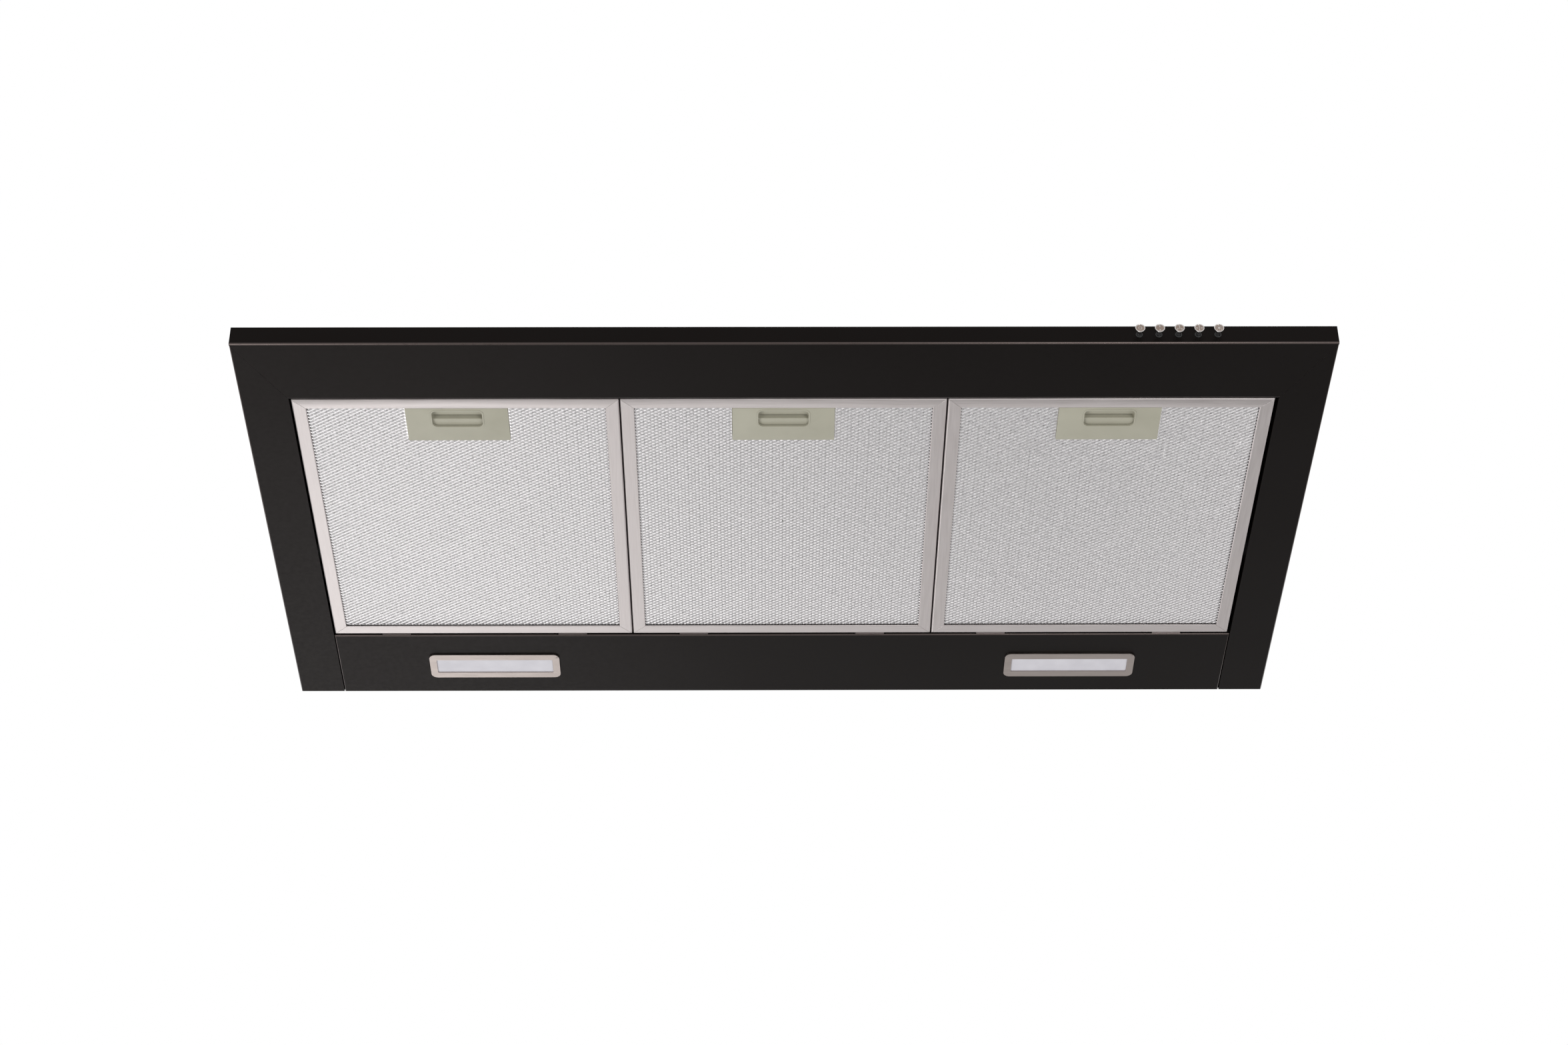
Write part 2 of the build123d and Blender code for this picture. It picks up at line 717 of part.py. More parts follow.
# ==== Lamps =======================================================================================
def lamp_bezel(x):
    """Bezel below the panel with a skirt through the cut-out; the lens lies on the edge inside it."""
    pocket_width = lens_width + 2 * lens_lap
    pocket_depth = lens_depth + 2 * lens_lap
    with BuildPart() as bezel:
        with BuildSketch(Plane.XY.offset(rim_z)):
            with Locations((x, lamp_y)):
                RectangleRounded(bezel_width, bezel_depth, bezel_corner)
        extrude(amount=-bezel_proud)
        with BuildSketch(Plane.XY.offset(rim_z)):
            with Locations((x, lamp_y)):
                Rectangle(pocket_width + 2 * skirt_wall, pocket_depth + 2 * skirt_wall)
        extrude(amount=skirt_height)
        with BuildSketch(Plane.XY.offset(rim_z - bezel_proud + bezel_face)):
            with Locations((x, lamp_y)):
                Rectangle(pocket_width, pocket_depth)
        extrude(amount=bezel_proud + skirt_height, mode=Mode.SUBTRACT)
        with BuildSketch(Plane.XY.offset(rim_z - bezel_proud)):
            with Locations((x, lamp_y)):
                RectangleRounded(lens_width, lens_depth, lens_corner)
        extrude(amount=bezel_proud, mode=Mode.SUBTRACT)
    return bezel


def lamp_lens(x):
    with BuildPart() as lens:
        with BuildSketch(Plane.XY.offset(rim_z - bezel_proud + bezel_face)):
            with Locations((x, lamp_y)):
                Rectangle(lens_width + 2 * lens_lap - touch, lens_depth + 2 * lens_lap - touch)
        extrude(amount=lens_thick)
    return lens


def lamp_tray(x):
    """Tray above the panel that holds the lamp's board."""
    tray_width = lens_width + 2 * (lens_lap + skirt_wall + touch + tray_margin)
    tray_depth = lens_depth + 2 * (lens_lap + skirt_wall + touch + tray_margin)
    with BuildPart() as tray:
        with BuildSketch(Plane.XY.offset(floor_z)):
            with Locations((x, lamp_y)):
                Rectangle(tray_width, tray_depth)
        extrude(amount=lamp_tray_height)
        chamfer(tray.faces().sort_by(Axis.Z)[-1].edges(), tray_margin)
        offset(amount=-tray_wall, openings=tray.faces().sort_by(Axis.Z)[0])
    return tray


def led_board(x):
    """Circuit board under the tray's roof, with its row of LEDs."""
    roof = floor_z + lamp_tray_height - tray_wall
    with BuildPart() as board:
        with BuildSketch(Plane.XY.offset(roof)):
            with Locations((x, lamp_y)):
                Rectangle(board_width, board_depth)
        extrude(amount=-board_thick)
        with BuildSketch(Plane.XY.offset(roof - board_thick)):
            with Locations((x, lamp_y)):
                with GridLocations(board_width / led_count, 0, led_count, 1):
                    Rectangle(led_size, led_size)
        extrude(amount=-led_thick)
    return board


for name, side in (("left", -1), ("right", 1)):
    save(lamp_bezel(side * lamp_x), f"lamp_bezel_{name}")
    save(lamp_lens(side * lamp_x), f"lamp_lens_{name}")
    save(lamp_tray(side * lamp_x), f"lamp_tray_{name}")
    save(led_board(side * lamp_x), f"led_board_{name}")


# ==== Duct collar and its back-draught damper =====================================================
with BuildPart() as duct_collar:
    with BuildSketch(Plane.XY):
        with Locations((0, duct_y)):
            Circle(duct_flange)
    extrude(amount=duct_wall)
    with BuildSketch(Plane.XY):
        with Locations((0, duct_y)):
            Circle(duct_outer)
    extrude(amount=duct_height)
    with BuildSketch(Plane.XY):
        with Locations((0, duct_y)):
            Circle(duct_inner)
    extrude(amount=duct_height, mode=Mode.SUBTRACT)
    with BuildSketch(Plane.XY):
        with Locations(*collar_places):
            Circle(screw_hole)
    extrude(amount=duct_wall, mode=Mode.SUBTRACT)
    # Holes for the damper's pins.
    with BuildSketch(Plane.XZ.offset(-duct_y)):
        with Locations((-damper_x, damper_z), (damper_x, damper_z)):
            Circle(damper_pin_radius + running)
    extrude(amount=duct_outer, both=True, mode=Mode.SUBTRACT)
save(duct_collar, "duct_collar")
save(screw_group(collar_places, duct_wall), "collar_screws")


def damper_pin(side):
    """Pin that turns in the collar's holes with its flap."""
    half = math.sqrt(duct_outer**2 - (damper_x + damper_pin_radius) ** 2)
    with BuildPart() as pin:
        with BuildSketch(Plane.XZ.offset(-duct_y)):
            with Locations((side * damper_x, damper_z)):
                Circle(damper_pin_radius)
        extrude(amount=half, both=True)
    return pin


def damper_flap(side):
    """Half disc whose straight edge is rolled round its pin."""
    rim = duct_inner - flap_gap
    roll_half = math.sqrt(rim**2 - (damper_x + damper_roll) ** 2)
    with BuildPart() as flap:
        with BuildSketch(Plane.XY.offset(damper_z - damper_roll)):
            with Locations((0, duct_y)):
                Circle(rim)
            with Locations((side * (damper_x - duct_outer), duct_y)):
                Rectangle(2 * duct_outer, 2 * duct_outer, mode=Mode.SUBTRACT)
        extrude(amount=flap_thick)
        with BuildSketch(Plane.XZ.offset(-duct_y)):
            with Locations((side * damper_x, damper_z)):
                Circle(damper_roll)
        extrude(amount=roll_half, both=True)
        with BuildSketch(Plane.XZ.offset(-duct_y)):
            with Locations((side * damper_x, damper_z)):
                Circle(damper_pin_radius + running)
        extrude(amount=duct_outer, both=True, mode=Mode.SUBTRACT)
    return flap


for name, side in (("left", -1), ("right", 1)):
    save(damper_pin(side), f"damper_pin_{name}")
    save(damper_flap(side), f"damper_flap_{name}")


# ==== Blower ======================================================================================
# The scroll is a spiral of arcs, each centred on the next corner of a small square, so that they
# run into each other smoothly. It opens towards the outlet box.
scroll_end = -(box_half + steel / 2 + touch)


def scroll_path():
    """The wall's centre line, from the tongue clockwise round the fan to the outlet."""
    corners = [
        (fan_x + arc_centre, fan_y - arc_centre),
        (fan_x - arc_centre, fan_y - arc_centre),
        (fan_x - arc_centre, fan_y + arc_centre),
        (fan_x + arc_centre, fan_y + arc_centre),
    ]
    Line((scroll_end, tongue_y), (tongue_x, tongue_y))
    CenterArc(corners[0], first_arc, tongue_angle, -tongue_angle)
    for i, corner in enumerate(corners[1:]):
        CenterArc(corner, first_arc + (i + 1) * scroll_step, -90 * i, -90)
    Line((fan_x + arc_centre, outlet_outer_y), (scroll_end, outlet_outer_y))


with BuildPart() as scroll_housing:
    with BuildSketch(Plane.XY.offset(scroll_floor)):
        with BuildLine():
            scroll_path()
            offset(amount=steel / 2)
        make_face()
    extrude(amount=scroll_top - scroll_floor)
    with BuildSketch(Plane.XY.offset(scroll_top)):
        with BuildLine():
            scroll_path()
            Line((scroll_end, outlet_outer_y), (scroll_end, tongue_y))
        make_face()
        with Locations(*blower_places):
            Circle(screw_hole, mode=Mode.SUBTRACT)
    extrude(amount=-steel)
save(scroll_housing, "scroll_housing")

# Inlet plate with a bell mouth that leads into the fan's eye.
with BuildPart() as inlet_plate:
    with BuildSketch(Plane.XY.offset(scroll_floor)):
        with BuildLine():
            scroll_path()
            Line((scroll_end, outlet_outer_y), (scroll_end, tongue_y))
        make_face()
        with Locations((fan_x, fan_y)):
            Circle(inlet_radius + inlet_flare, mode=Mode.SUBTRACT)
    extrude(amount=-steel)
    with BuildSketch(Plane((fan_x, fan_y, scroll_floor - steel), x_dir=(1, 0, 0), z_dir=(0, -1, 0))):
        with BuildLine():
            Polyline(
                (inlet_radius + inlet_flare, 0),
                (inlet_radius, inlet_flare),
                (inlet_radius + steel, inlet_flare),
                (inlet_radius + inlet_flare, steel),
                close=True,
            )
        make_face()
    revolve(axis=Axis((fan_x, fan_y, 0), (0, 0, 1)))
save(inlet_plate, "inlet_plate")

# Forward-curved blade: radial at the eye, and leaning in the sense of rotation at the rim.
blade_rim = fan_radius - blade_inset
blade_middle = (blade_inner + blade_rim) / 2


def polar(radius, angle):
    """Point at a radius and an angle in degrees."""
    return (radius * math.cos(math.radians(angle)), radius * math.sin(math.radians(angle)))


with BuildSketch() as blade:
    with BuildLine():
        Polyline(polar(blade_inner, 0), polar(blade_middle, blade_bow), polar(blade_rim, blade_sweep))
    trace(line_width=blade_thick)

fan_plane = Plane((fan_x, fan_y, 0), x_dir=(1, 0, 0), z_dir=(0, -1, 0))
fan_axis = Axis((fan_x, fan_y, 0), (0, 0, 1))
ring_width = fan_radius - blade_inner + blade_inset
ring_thick = 2.0
with BuildPart() as impeller:
    with BuildSketch(Plane.XY.offset(-fan_bottom + ring_thick)):
        with Locations((fan_x, fan_y)):
            with PolarLocations(0, blade_count):
                add(blade.sketch)
    extrude(amount=fan_bottom - ring_thick - fan_top - steel)
    # Dished back plate, which clears the motor, with its hub; and the ring that ties the blades.
    with BuildSketch(fan_plane):
        with BuildLine():
            Polyline(
                (fan_radius, -fan_top),
                (dish_outer, -fan_top),
                (dish_inner, -dish_bottom),
                (shaft_radius, -dish_bottom),
            )
            offset(amount=steel, side=Side.LEFT, kind=Kind.INTERSECTION)
        make_face()
        with Locations(((shaft_radius + hub_radius) / 2, -dish_bottom - hub_length / 2 + steel)):
            Rectangle(hub_radius - shaft_radius, hub_length)
        with Locations((fan_radius - ring_width / 2, -fan_bottom + ring_thick / 2)):
            Rectangle(ring_width, ring_thick)
    revolve(axis=fan_axis)
save(impeller, "impeller")

hub_bottom = -dish_bottom - hub_length + steel
shaft_top = -motor_bottom / 2
shaft_bottom = hub_bottom - nut_height - shaft_spare
with BuildPart() as motor_shaft:
    with BuildSketch(Plane.XY.offset(shaft_bottom)):
        with Locations((fan_x, fan_y)):
            Circle(shaft_radius)
    extrude(amount=shaft_top - shaft_bottom)
    chamfer(motor_shaft.faces().sort_by(Axis.Z)[0].edges(), shaft_edge)
save(motor_shaft, "motor_shaft")

with BuildPart() as impeller_nut:
    with BuildSketch(Plane.XY.offset(hub_bottom)):
        with Locations((fan_x, fan_y)):
            RegularPolygon(nut_across / 2, 6, major_radius=False)
            Circle(shaft_radius, mode=Mode.SUBTRACT)
    extrude(amount=-nut_height)
save(impeller_nut, "impeller_nut")

# Motor: mounting flange, laminated body, end bell and bearing boss, with a bore for the shaft.
motor_top = scroll_top - steel
with BuildPart() as motor:
    with BuildSketch(fan_plane):
        with BuildLine():
            Polyline(
                (0, motor_top),
                (motor_radius, motor_top),
                (motor_radius, motor_top - motor_flange),
                (motor_radius - motor_flange, motor_top - motor_flange),
                (motor_radius - motor_flange, -motor_bottom + motor_bell),
                (motor_radius - motor_shoulder, -motor_bottom + motor_flange),
                (hub_radius, -motor_bottom + motor_flange),
                (hub_radius, -motor_bottom),
                (shaft_radius + running, -motor_bottom),
                (shaft_radius + running, shaft_top + touch),
                (0, shaft_top + touch),
                close=True,
            )
        make_face()
    revolve(axis=fan_axis)
save(motor, "motor")

# The outlet box takes the scroll's air and turns it up into the collar.
with BuildPart() as outlet_box:
    with BuildSketch(Plane.XY.offset(scroll_floor)):
        with Locations((0, duct_y + (box_rear - box_front) / 2)):
            RectangleRounded(2 * box_half, box_front + box_rear, box_corner)
    extrude(amount=scroll_top - scroll_floor)
    offset(amount=-steel, openings=outlet_box.faces().sort_by(Axis.Z)[-1])
    with BuildSketch(Plane.YZ.offset(-box_half)):
        with Locations(((tongue_y + outlet_outer_y) / 2, (scroll_floor + scroll_top) / 2)):
            Rectangle(outlet_outer_y - tongue_y - steel, scroll_top - scroll_floor - box_corner)
    extrude(amount=2 * steel, both=True, mode=Mode.SUBTRACT)
save(outlet_box, "outlet_box")
save(screw_group(blower_places), "blower_screws")


# ==== Electrical pieces ===========================================================================
junction_top = -sheet
junction_bottom = junction_top - junction_height
with BuildPart() as junction_box:
    with BuildSketch(Plane.XY.offset(junction_top)):
        with Locations((junction_x, junction_y)):
            Rectangle(junction_width, junction_length)
    extrude(amount=-junction_height)
    offset(amount=-sheet, openings=junction_box.faces().sort_by(Axis.Z)[0])
    with BuildSketch(Plane.XY.offset(junction_top)):
        with Locations((junction_x, junction_y)):
            Circle(grommet_hole)
        with Locations(*junction_places):
            Circle(screw_hole)
    extrude(amount=-2 * sheet, mode=Mode.SUBTRACT)
save(junction_box, "junction_box")
save(screw_group(junction_places), "junction_screws")

with BuildPart() as junction_cover:
    with BuildSketch(Plane.XY.offset(junction_bottom)):
        with Locations((junction_x, junction_y)):
            Rectangle(junction_width, junction_length)
    extrude(amount=-sheet)
save(junction_cover, "junction_cover")

# Rubber grommet, with its waist in the hole through the top and the junction box.
with BuildPart() as cable_grommet:
    with BuildSketch(Plane((junction_x, junction_y, 0), x_dir=(1, 0, 0), z_dir=(0, -1, 0))):
        with BuildLine():
            Polyline(
                (grommet_bore, -2 * sheet - grommet_rise),
                (grommet_lip, -2 * sheet - grommet_rise),
                (grommet_lip, -2 * sheet),
                (grommet_hole - running, -2 * sheet),
                (grommet_hole - running, 0),
                (grommet_lip, 0),
                (grommet_lip - grommet_rise / 2, grommet_rise),
                (grommet_bore, grommet_rise),
                close=True,
            )
        make_face()
    revolve(axis=Axis((junction_x, junction_y, 0), (0, 0, 1)))
save(cable_grommet, "cable_grommet")

# Terminal block on the cover, with its wire ways and screw wells.
terminal_y = junction_y - junction_length / 4
terminal_pitch = terminal_width / terminal_ways
with BuildPart() as terminal_block:
    with BuildSketch(Plane.XY.offset(junction_bottom)):
        with Locations((junction_x, terminal_y)):
            Rectangle(terminal_width, terminal_length)
    extrude(amount=terminal_height)
    with BuildSketch(Plane.XZ.offset(-(terminal_y - terminal_length / 2))):
        with Locations((junction_x, junction_bottom + terminal_height / 3)):
            with GridLocations(terminal_pitch, 0, terminal_ways, 1):
                Rectangle(wire_way, wire_way)
    extrude(amount=-terminal_length, mode=Mode.SUBTRACT)
    with BuildSketch(Plane.XY.offset(junction_bottom + terminal_height)):
        with Locations((junction_x, terminal_y)):
            with GridLocations(terminal_pitch, terminal_length / 2, terminal_ways, 2):
                Rectangle(screw_well, screw_well)
    extrude(amount=-terminal_height / 3, mode=Mode.SUBTRACT)
save(terminal_block, "terminal_block")

# The motor's capacitor lies on the cover beside it.
capacitor_y = junction_y + junction_length / 4
with BuildPart() as motor_capacitor:
    with BuildSketch(Plane.YZ.offset(junction_x - capacitor_length / 2)):
        with Locations((capacitor_y, junction_bottom + capacitor_radius)):
            Circle(capacitor_radius)
    extrude(amount=capacitor_length)
save(motor_capacitor, "motor_capacitor")

driver_x = junction_x + junction_width / 2 + driver_gap + driver_width / 2
with BuildPart() as led_driver:
    with BuildSketch(Plane.XY.offset(-sheet)):
        with Locations((driver_x, junction_y)):
            Rectangle(driver_width, driver_length)
    extrude(amount=-driver_height)
    chamfer(led_driver.faces().sort_by(Axis.Z)[0].edges(), driver_edge)
save(led_driver, "led_driver")
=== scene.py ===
"""Looks of an under cabinet range hood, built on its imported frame.

Every length is in metres. X runs to the right, Y to the wall and Z up.
"""

import json
import math
import random

import bmesh
import bpy
from mathutils import Matrix, Vector, noise

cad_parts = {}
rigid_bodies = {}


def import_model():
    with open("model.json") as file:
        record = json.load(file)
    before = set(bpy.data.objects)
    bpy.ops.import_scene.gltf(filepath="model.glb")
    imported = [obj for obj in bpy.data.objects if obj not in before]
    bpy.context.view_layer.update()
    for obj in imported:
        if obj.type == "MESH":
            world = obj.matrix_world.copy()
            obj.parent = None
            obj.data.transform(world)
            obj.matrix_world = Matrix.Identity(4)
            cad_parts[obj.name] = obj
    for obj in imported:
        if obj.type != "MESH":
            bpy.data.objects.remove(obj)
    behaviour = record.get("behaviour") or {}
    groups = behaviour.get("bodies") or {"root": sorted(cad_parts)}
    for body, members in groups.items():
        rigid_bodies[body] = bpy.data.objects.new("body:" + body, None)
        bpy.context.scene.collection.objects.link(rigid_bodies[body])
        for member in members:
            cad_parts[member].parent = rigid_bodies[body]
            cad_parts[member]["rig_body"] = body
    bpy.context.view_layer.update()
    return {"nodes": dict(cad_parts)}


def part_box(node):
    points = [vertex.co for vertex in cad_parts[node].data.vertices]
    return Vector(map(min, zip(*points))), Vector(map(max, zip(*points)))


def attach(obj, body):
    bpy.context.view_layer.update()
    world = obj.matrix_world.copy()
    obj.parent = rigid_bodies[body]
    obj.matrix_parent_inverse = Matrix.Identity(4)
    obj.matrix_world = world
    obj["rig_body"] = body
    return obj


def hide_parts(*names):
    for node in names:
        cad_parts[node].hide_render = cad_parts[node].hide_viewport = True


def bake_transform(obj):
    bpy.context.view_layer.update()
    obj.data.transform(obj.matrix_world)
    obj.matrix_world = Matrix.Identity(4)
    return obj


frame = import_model()
nodes = frame["nodes"]

SIDES = ["left", "right"]
FILTERS = ["left", "centre", "right"]
BUTTONS = ["off", "low", "medium", "high", "light"]

# The canopy
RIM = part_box("front_fascia")[0].z
LIP_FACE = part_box("front_fascia")[0].y
FLAT_AREA = 0.002    # broad faces stay flat, so that softened edges don't shade across them

# Softened edges: how far they are rounded, and what counts as flush, as sharp and as a bend
FINE_EASE, SOFT_EASE, ROUND_EASE = 0.0002, 0.0003, 0.0004
FLUSH = math.radians(0.5)
SHARP = math.radians(50)
BEND_LEAN = 0.2    # a bend's face leans at least this much down and as much sideways

# Working limits
SAME_PLACE = 1e-6
ON_CUT = 1e-7
SQUARE_ON = 0.8    # a face that looks this squarely along an axis is taken as square to it

# The filters' frames
CHANNEL_WIDTH = 0.0115
CHANNEL_HEIGHT = 0.009
CHANNEL_WALL = 0.0009
CHANNEL_ROLL = 0.0012
CHANNEL_HEM = 0.0007
CHANNEL_PLAY = 0.0003
MITRE_GAP = 0.00012
MITRE_EASE = 0.00022
MITRE_SHARP = math.radians(40)
MITRE_MARGIN = 0.001
TONGUE_SLOT = (0.0168, 0.0033)
TONGUE_SLOT_LOW = 0.0015    # above the rim
TAB = (0.026, 0.0089, 0.0012)
TAB_INSET = 0.055
TAB_LOW = RIM + 0.0046
TAB_FOOT = RIM + 0.0013

# The filters' foils, from the one that shows to the one at the back
FOIL_THICK = 0.0002
FOIL_LAP = 0.002
FOIL_CREASE = 15
FOIL_WAVE = 0.07
FOIL_WAVE_SCALE = (26, 34)
FOIL_SCATTER = 0.09
TWIST_SCATTER = 0.5
FOIL_SEEDS = {"left": 3, "centre": 13, "right": 23}
LATCH_PLAY = 0.0003
SCRAP_SHARE, KNOT_SHARE, CELL_SHARE = 0.06, 0.2, 0.32    # of a whole diamond: at most, at most, at least
FOIL_LAYERS = {
    "front": {"level": RIM + 0.0021, "cell": (0.006, 0.004), "strand": 0.00055, "tilt": -0.42, "twist": 0.03,
              "knot": 0.0006, "finish": "foil_aluminium"},
    "middle": {"level": RIM + 0.0038, "cell": (0.009, 0.006), "strand": 0.0018, "tilt": 0.4, "twist": 0.1,
               "knot": 0, "finish": "shade_darkened_foil"},
    "back": {"level": RIM + 0.0070, "cell": (0.009, 0.006), "strand": 0.0018, "tilt": -0.4, "twist": -0.1,
             "knot": 0, "finish": "shade_darkened_foil"},
}

# The latches: the grip's face behind the slider's front end, and the gap just ahead of that face
GRIP = 0.0283
GRIP_GAP = (0.040, 0.0016)
GRIP_GAP_LOW = 0.002    # above the slider's underside
GRIP_GAP_PAST = 0.001    # past its top
GRIP_WALL = 0.0002

# The radii at which the marks on the caps begin and end
HUB_OUT, RING_IN, RING_OUT, BLADE_OUT = 0.0006, 0.0011, 0.0016, 0.0026
BLADE_WIDTH, RAY_WIDTH = 30, 15

# The buttons: distance out from the axis, and back from the cap's front edge
FACE_DISH = 0.00022
BUTTON_FACE = [(out, FACE_DISH) for out in (0, HUB_OUT, RING_IN, RING_OUT, BLADE_OUT)] + [(0.00325, 0.00018)]
BUTTON_SIDE = [(0.0034, 0.00004), (0.0036, 0), (0.0039, 0), (0.00405, 0.0001), (0.0041, 0.00028),
               (0.0041, 0.00105), (0.00395, 0.0013), (0.0031, 0.0017), (0.0024, 0.0026), (0.00195, 0.0035),
               (0.00175, 0.0043), (0.00175, 0.0120), (0.0025, 0.0120), (0.0025, 0.0217), (0, 0.0217)]
BUTTON_STEPS = 48
FACE_RADIUS = 0.0033
FACE_BACK = 0.0003
POST_BACK = 0.0013
MARK_SINK = 0.0001
MARK_EDGE = 0.00005
BUSH = [(0.00182, 0), (0.0020, -0.0005), (0.0026, -0.0005), (0.0029, -0.0002), (0.0029, 0.0030), (0.00182, 0.0030)]
BUSH_STEPS = 40

# The marks on the caps: inner and outer radius, turn and width in degrees
RING = [(RING_IN, RING_OUT, 0, 360)]
HUB = [(0, HUB_OUT, 0, 360)]
SUN = [(0, RING_IN, 0, 360)]
MARKS = {
    "off": RING,
    "low": [(RING_IN, BLADE_OUT, turn, BLADE_WIDTH) for turn in (0, 180)],
    "medium": [(RING_IN, BLADE_OUT, turn, BLADE_WIDTH) for turn in (0, 120, 240)] + HUB,
    "high": [(RING_IN, BLADE_OUT, turn, BLADE_WIDTH) for turn in (0, 90, 180, 270)] + HUB,
    "light": [(RING_OUT, BLADE_OUT, turn, RAY_WIDTH) for turn in range(0, 360, 45)] + SUN,
}

# The room
FLOOR_REACH = 4.6
FLOOR_LEVEL = -3.6
ROOM_LIGHTS, ROOM_SHOWS = 0.5, 1.0    # how strongly the surround lights matt surfaces, and how it shows
LAMP_TARGET = (0, 0, -0.1)
CAMERA_LENS = 70.71
CAMERA_PLACE = (-0.0200, -2.2258, -1.7570)
CAMERA_TURN = (127.31, 0.341, -0.292)    # degrees


# ---- Finishes ------------------------------------------------------------------------------------

def start_finish(name):
    """A new finish, with its node tree and its shader."""
    finish = bpy.data.materials.new(name)
    finish.use_nodes = True
    return finish, finish.node_tree, finish.node_tree.nodes["Principled BSDF"]


def own_place(tree, stretch=(1, 1, 1)):
    """The place of a point on the object itself, so that a pattern rides along with its piece."""
    coordinates = tree.nodes.new("ShaderNodeTexCoord")
    mapping = tree.nodes.new("ShaderNodeMapping")
    mapping.inputs["Scale"].default_value = stretch
    tree.links.new(coordinates.outputs["Object"], mapping.inputs["Vector"])
    return mapping.outputs["Vector"]


def grain(tree, scale, detail=3.0, stretch=(1, 1, 1)):
    speckle = tree.nodes.new("ShaderNodeTexNoise")
    speckle.inputs["Scale"].default_value = scale
    speckle.inputs["Detail"].default_value = detail
    tree.links.new(own_place(tree, stretch), speckle.inputs["Vector"])
    return speckle.outputs["Fac"]


def spread(tree, amount, low, high, start=0.3, end=0.7):
    """A pattern's middle range, start to end, spread over low to high."""
    span = tree.nodes.new("ShaderNodeMapRange")
    span.inputs["From Min"].default_value = start
    span.inputs["From Max"].default_value = end
    span.inputs["To Min"].default_value = low
    span.inputs["To Max"].default_value = high
    tree.links.new(amount, span.inputs["Value"])
    return span.outputs["Result"]


def shades(tree, amount, *stops):
    """A pattern as a run of colours. Each stop is a position and a colour."""
    ramp = tree.nodes.new("ShaderNodeValToRGB")
    ramp.color_ramp.elements[0].position = stops[0][0]
    ramp.color_ramp.elements[0].color = (*stops[0][1], 1)
    ramp.color_ramp.elements[1].position = stops[-1][0]
    ramp.color_ramp.elements[1].color = (*stops[-1][1], 1)
    for position, colour in stops[1:-1]:
        ramp.color_ramp.elements.new(position).color = (*colour, 1)
    tree.links.new(amount, ramp.inputs["Fac"])
    return ramp.outputs["Color"]


def relief(tree, shader, height, strength, distance):
    bump = tree.nodes.new("ShaderNodeBump")
    bump.inputs["Strength"].default_value = strength
    bump.inputs["Distance"].default_value = distance
    tree.links.new(height, bump.inputs["Height"])
    tree.links.new(bump.outputs["Normal"], shader.inputs["Normal"])


def black_enamel(name, specular, roughness):
    """Baked black enamel with a warm sheen and a faint orange peel."""
    finish, tree, shader = start_finish(name)
    cloud = grain(tree, 9, 2)
    tree.links.new(shades(tree, cloud, (0.3, (0.0036, 0.0028, 0.0025)), (0.7, (0.0045, 0.0037, 0.0034))),
                   shader.inputs["Base Color"])
    tree.links.new(spread(tree, grain(tree, 260, 4), roughness - 0.04, roughness + 0.04),
                   shader.inputs["Roughness"])
    shader.inputs["Specular IOR Level"].default_value = specular
    shader.inputs["Specular Tint"].default_value = (1, 0.81, 0.76, 1)
    relief(tree, shader, grain(tree, 900, 2), 0.06, 0.0002)
    return finish


def rolled_aluminium(name, stretch):
    """Bare aluminium with rolling streaks along the axis that stretch makes small."""
    finish, tree, shader = start_finish(name)
    streak = grain(tree, 700, 4, stretch)
    tree.links.new(shades(tree, streak, (0.3, (0.46, 0.422, 0.414)), (0.7, (0.525, 0.487, 0.479))),
                   shader.inputs["Base Color"])
    tree.links.new(spread(tree, streak, 0.36, 0.46), shader.inputs["Roughness"])
    shader.inputs["Metallic"].default_value = 1
    relief(tree, shader, streak, 0.08, 0.0001)
    return finish


def foil_aluminium():
    finish, tree, shader = start_finish("foil_aluminium")
    crinkle = grain(tree, 420, 3)
    tree.links.new(shades(tree, crinkle, (0.3, (0.70, 0.68, 0.685)), (0.7, (0.86, 0.84, 0.845))),
                   shader.inputs["Base Color"])
    tree.links.new(spread(tree, crinkle, 0.2, 0.3), shader.inputs["Roughness"])
    shader.inputs["Metallic"].default_value = 1
    relief(tree, shader, crinkle, 0.25, 0.0003)
    return finish


# The same aluminium as the front foil, coloured darker: painted shade for the layers that lie behind it
def shade_darkened_foil():
    finish, tree, shader = start_finish("shade_darkened_foil")
    crinkle = grain(tree, 300, 3)
    tree.links.new(shades(tree, crinkle, (0.3, (0.58, 0.555, 0.56)), (0.7, (0.70, 0.675, 0.68))),
                   shader.inputs["Base Color"])
    tree.links.new(spread(tree, crinkle, 0.35, 0.45), shader.inputs["Roughness"])
    shader.inputs["Metallic"].default_value = 1
    return finish


def moulded(name, low, high, roughness, specular=0.4, bump=0.1, scale=1600):
    """Moulded plastic: a faint colour drift and a fine spark-eroded grain."""
    finish, tree, shader = start_finish(name)
    tree.links.new(shades(tree, grain(tree, 40, 3), (0.3, low), (0.7, high)), shader.inputs["Base Color"])
    texture = grain(tree, scale, 2)
    tree.links.new(spread(tree, texture, roughness - 0.05, roughness + 0.05), shader.inputs["Roughness"])
    shader.inputs["Specular IOR Level"].default_value = specular
    relief(tree, shader, texture, bump, 0.0002)
    return finish


def plated(name, low, high, roughness, stretch=(1, 1, 1), scale=900, bump=0.03):
    """Plated or bare metal with fine polishing marks."""
    finish, tree, shader = start_finish(name)
    marks = grain(tree, scale, 4, stretch)
    tree.links.new(shades(tree, marks, (0.3, low), (0.7, high)), shader.inputs["Base Color"])
    tree.links.new(spread(tree, marks, roughness * 0.85, roughness * 1.2), shader.inputs["Roughness"])
    shader.inputs["Metallic"].default_value = 1
    relief(tree, shader, marks, bump, 0.0001)
    return finish


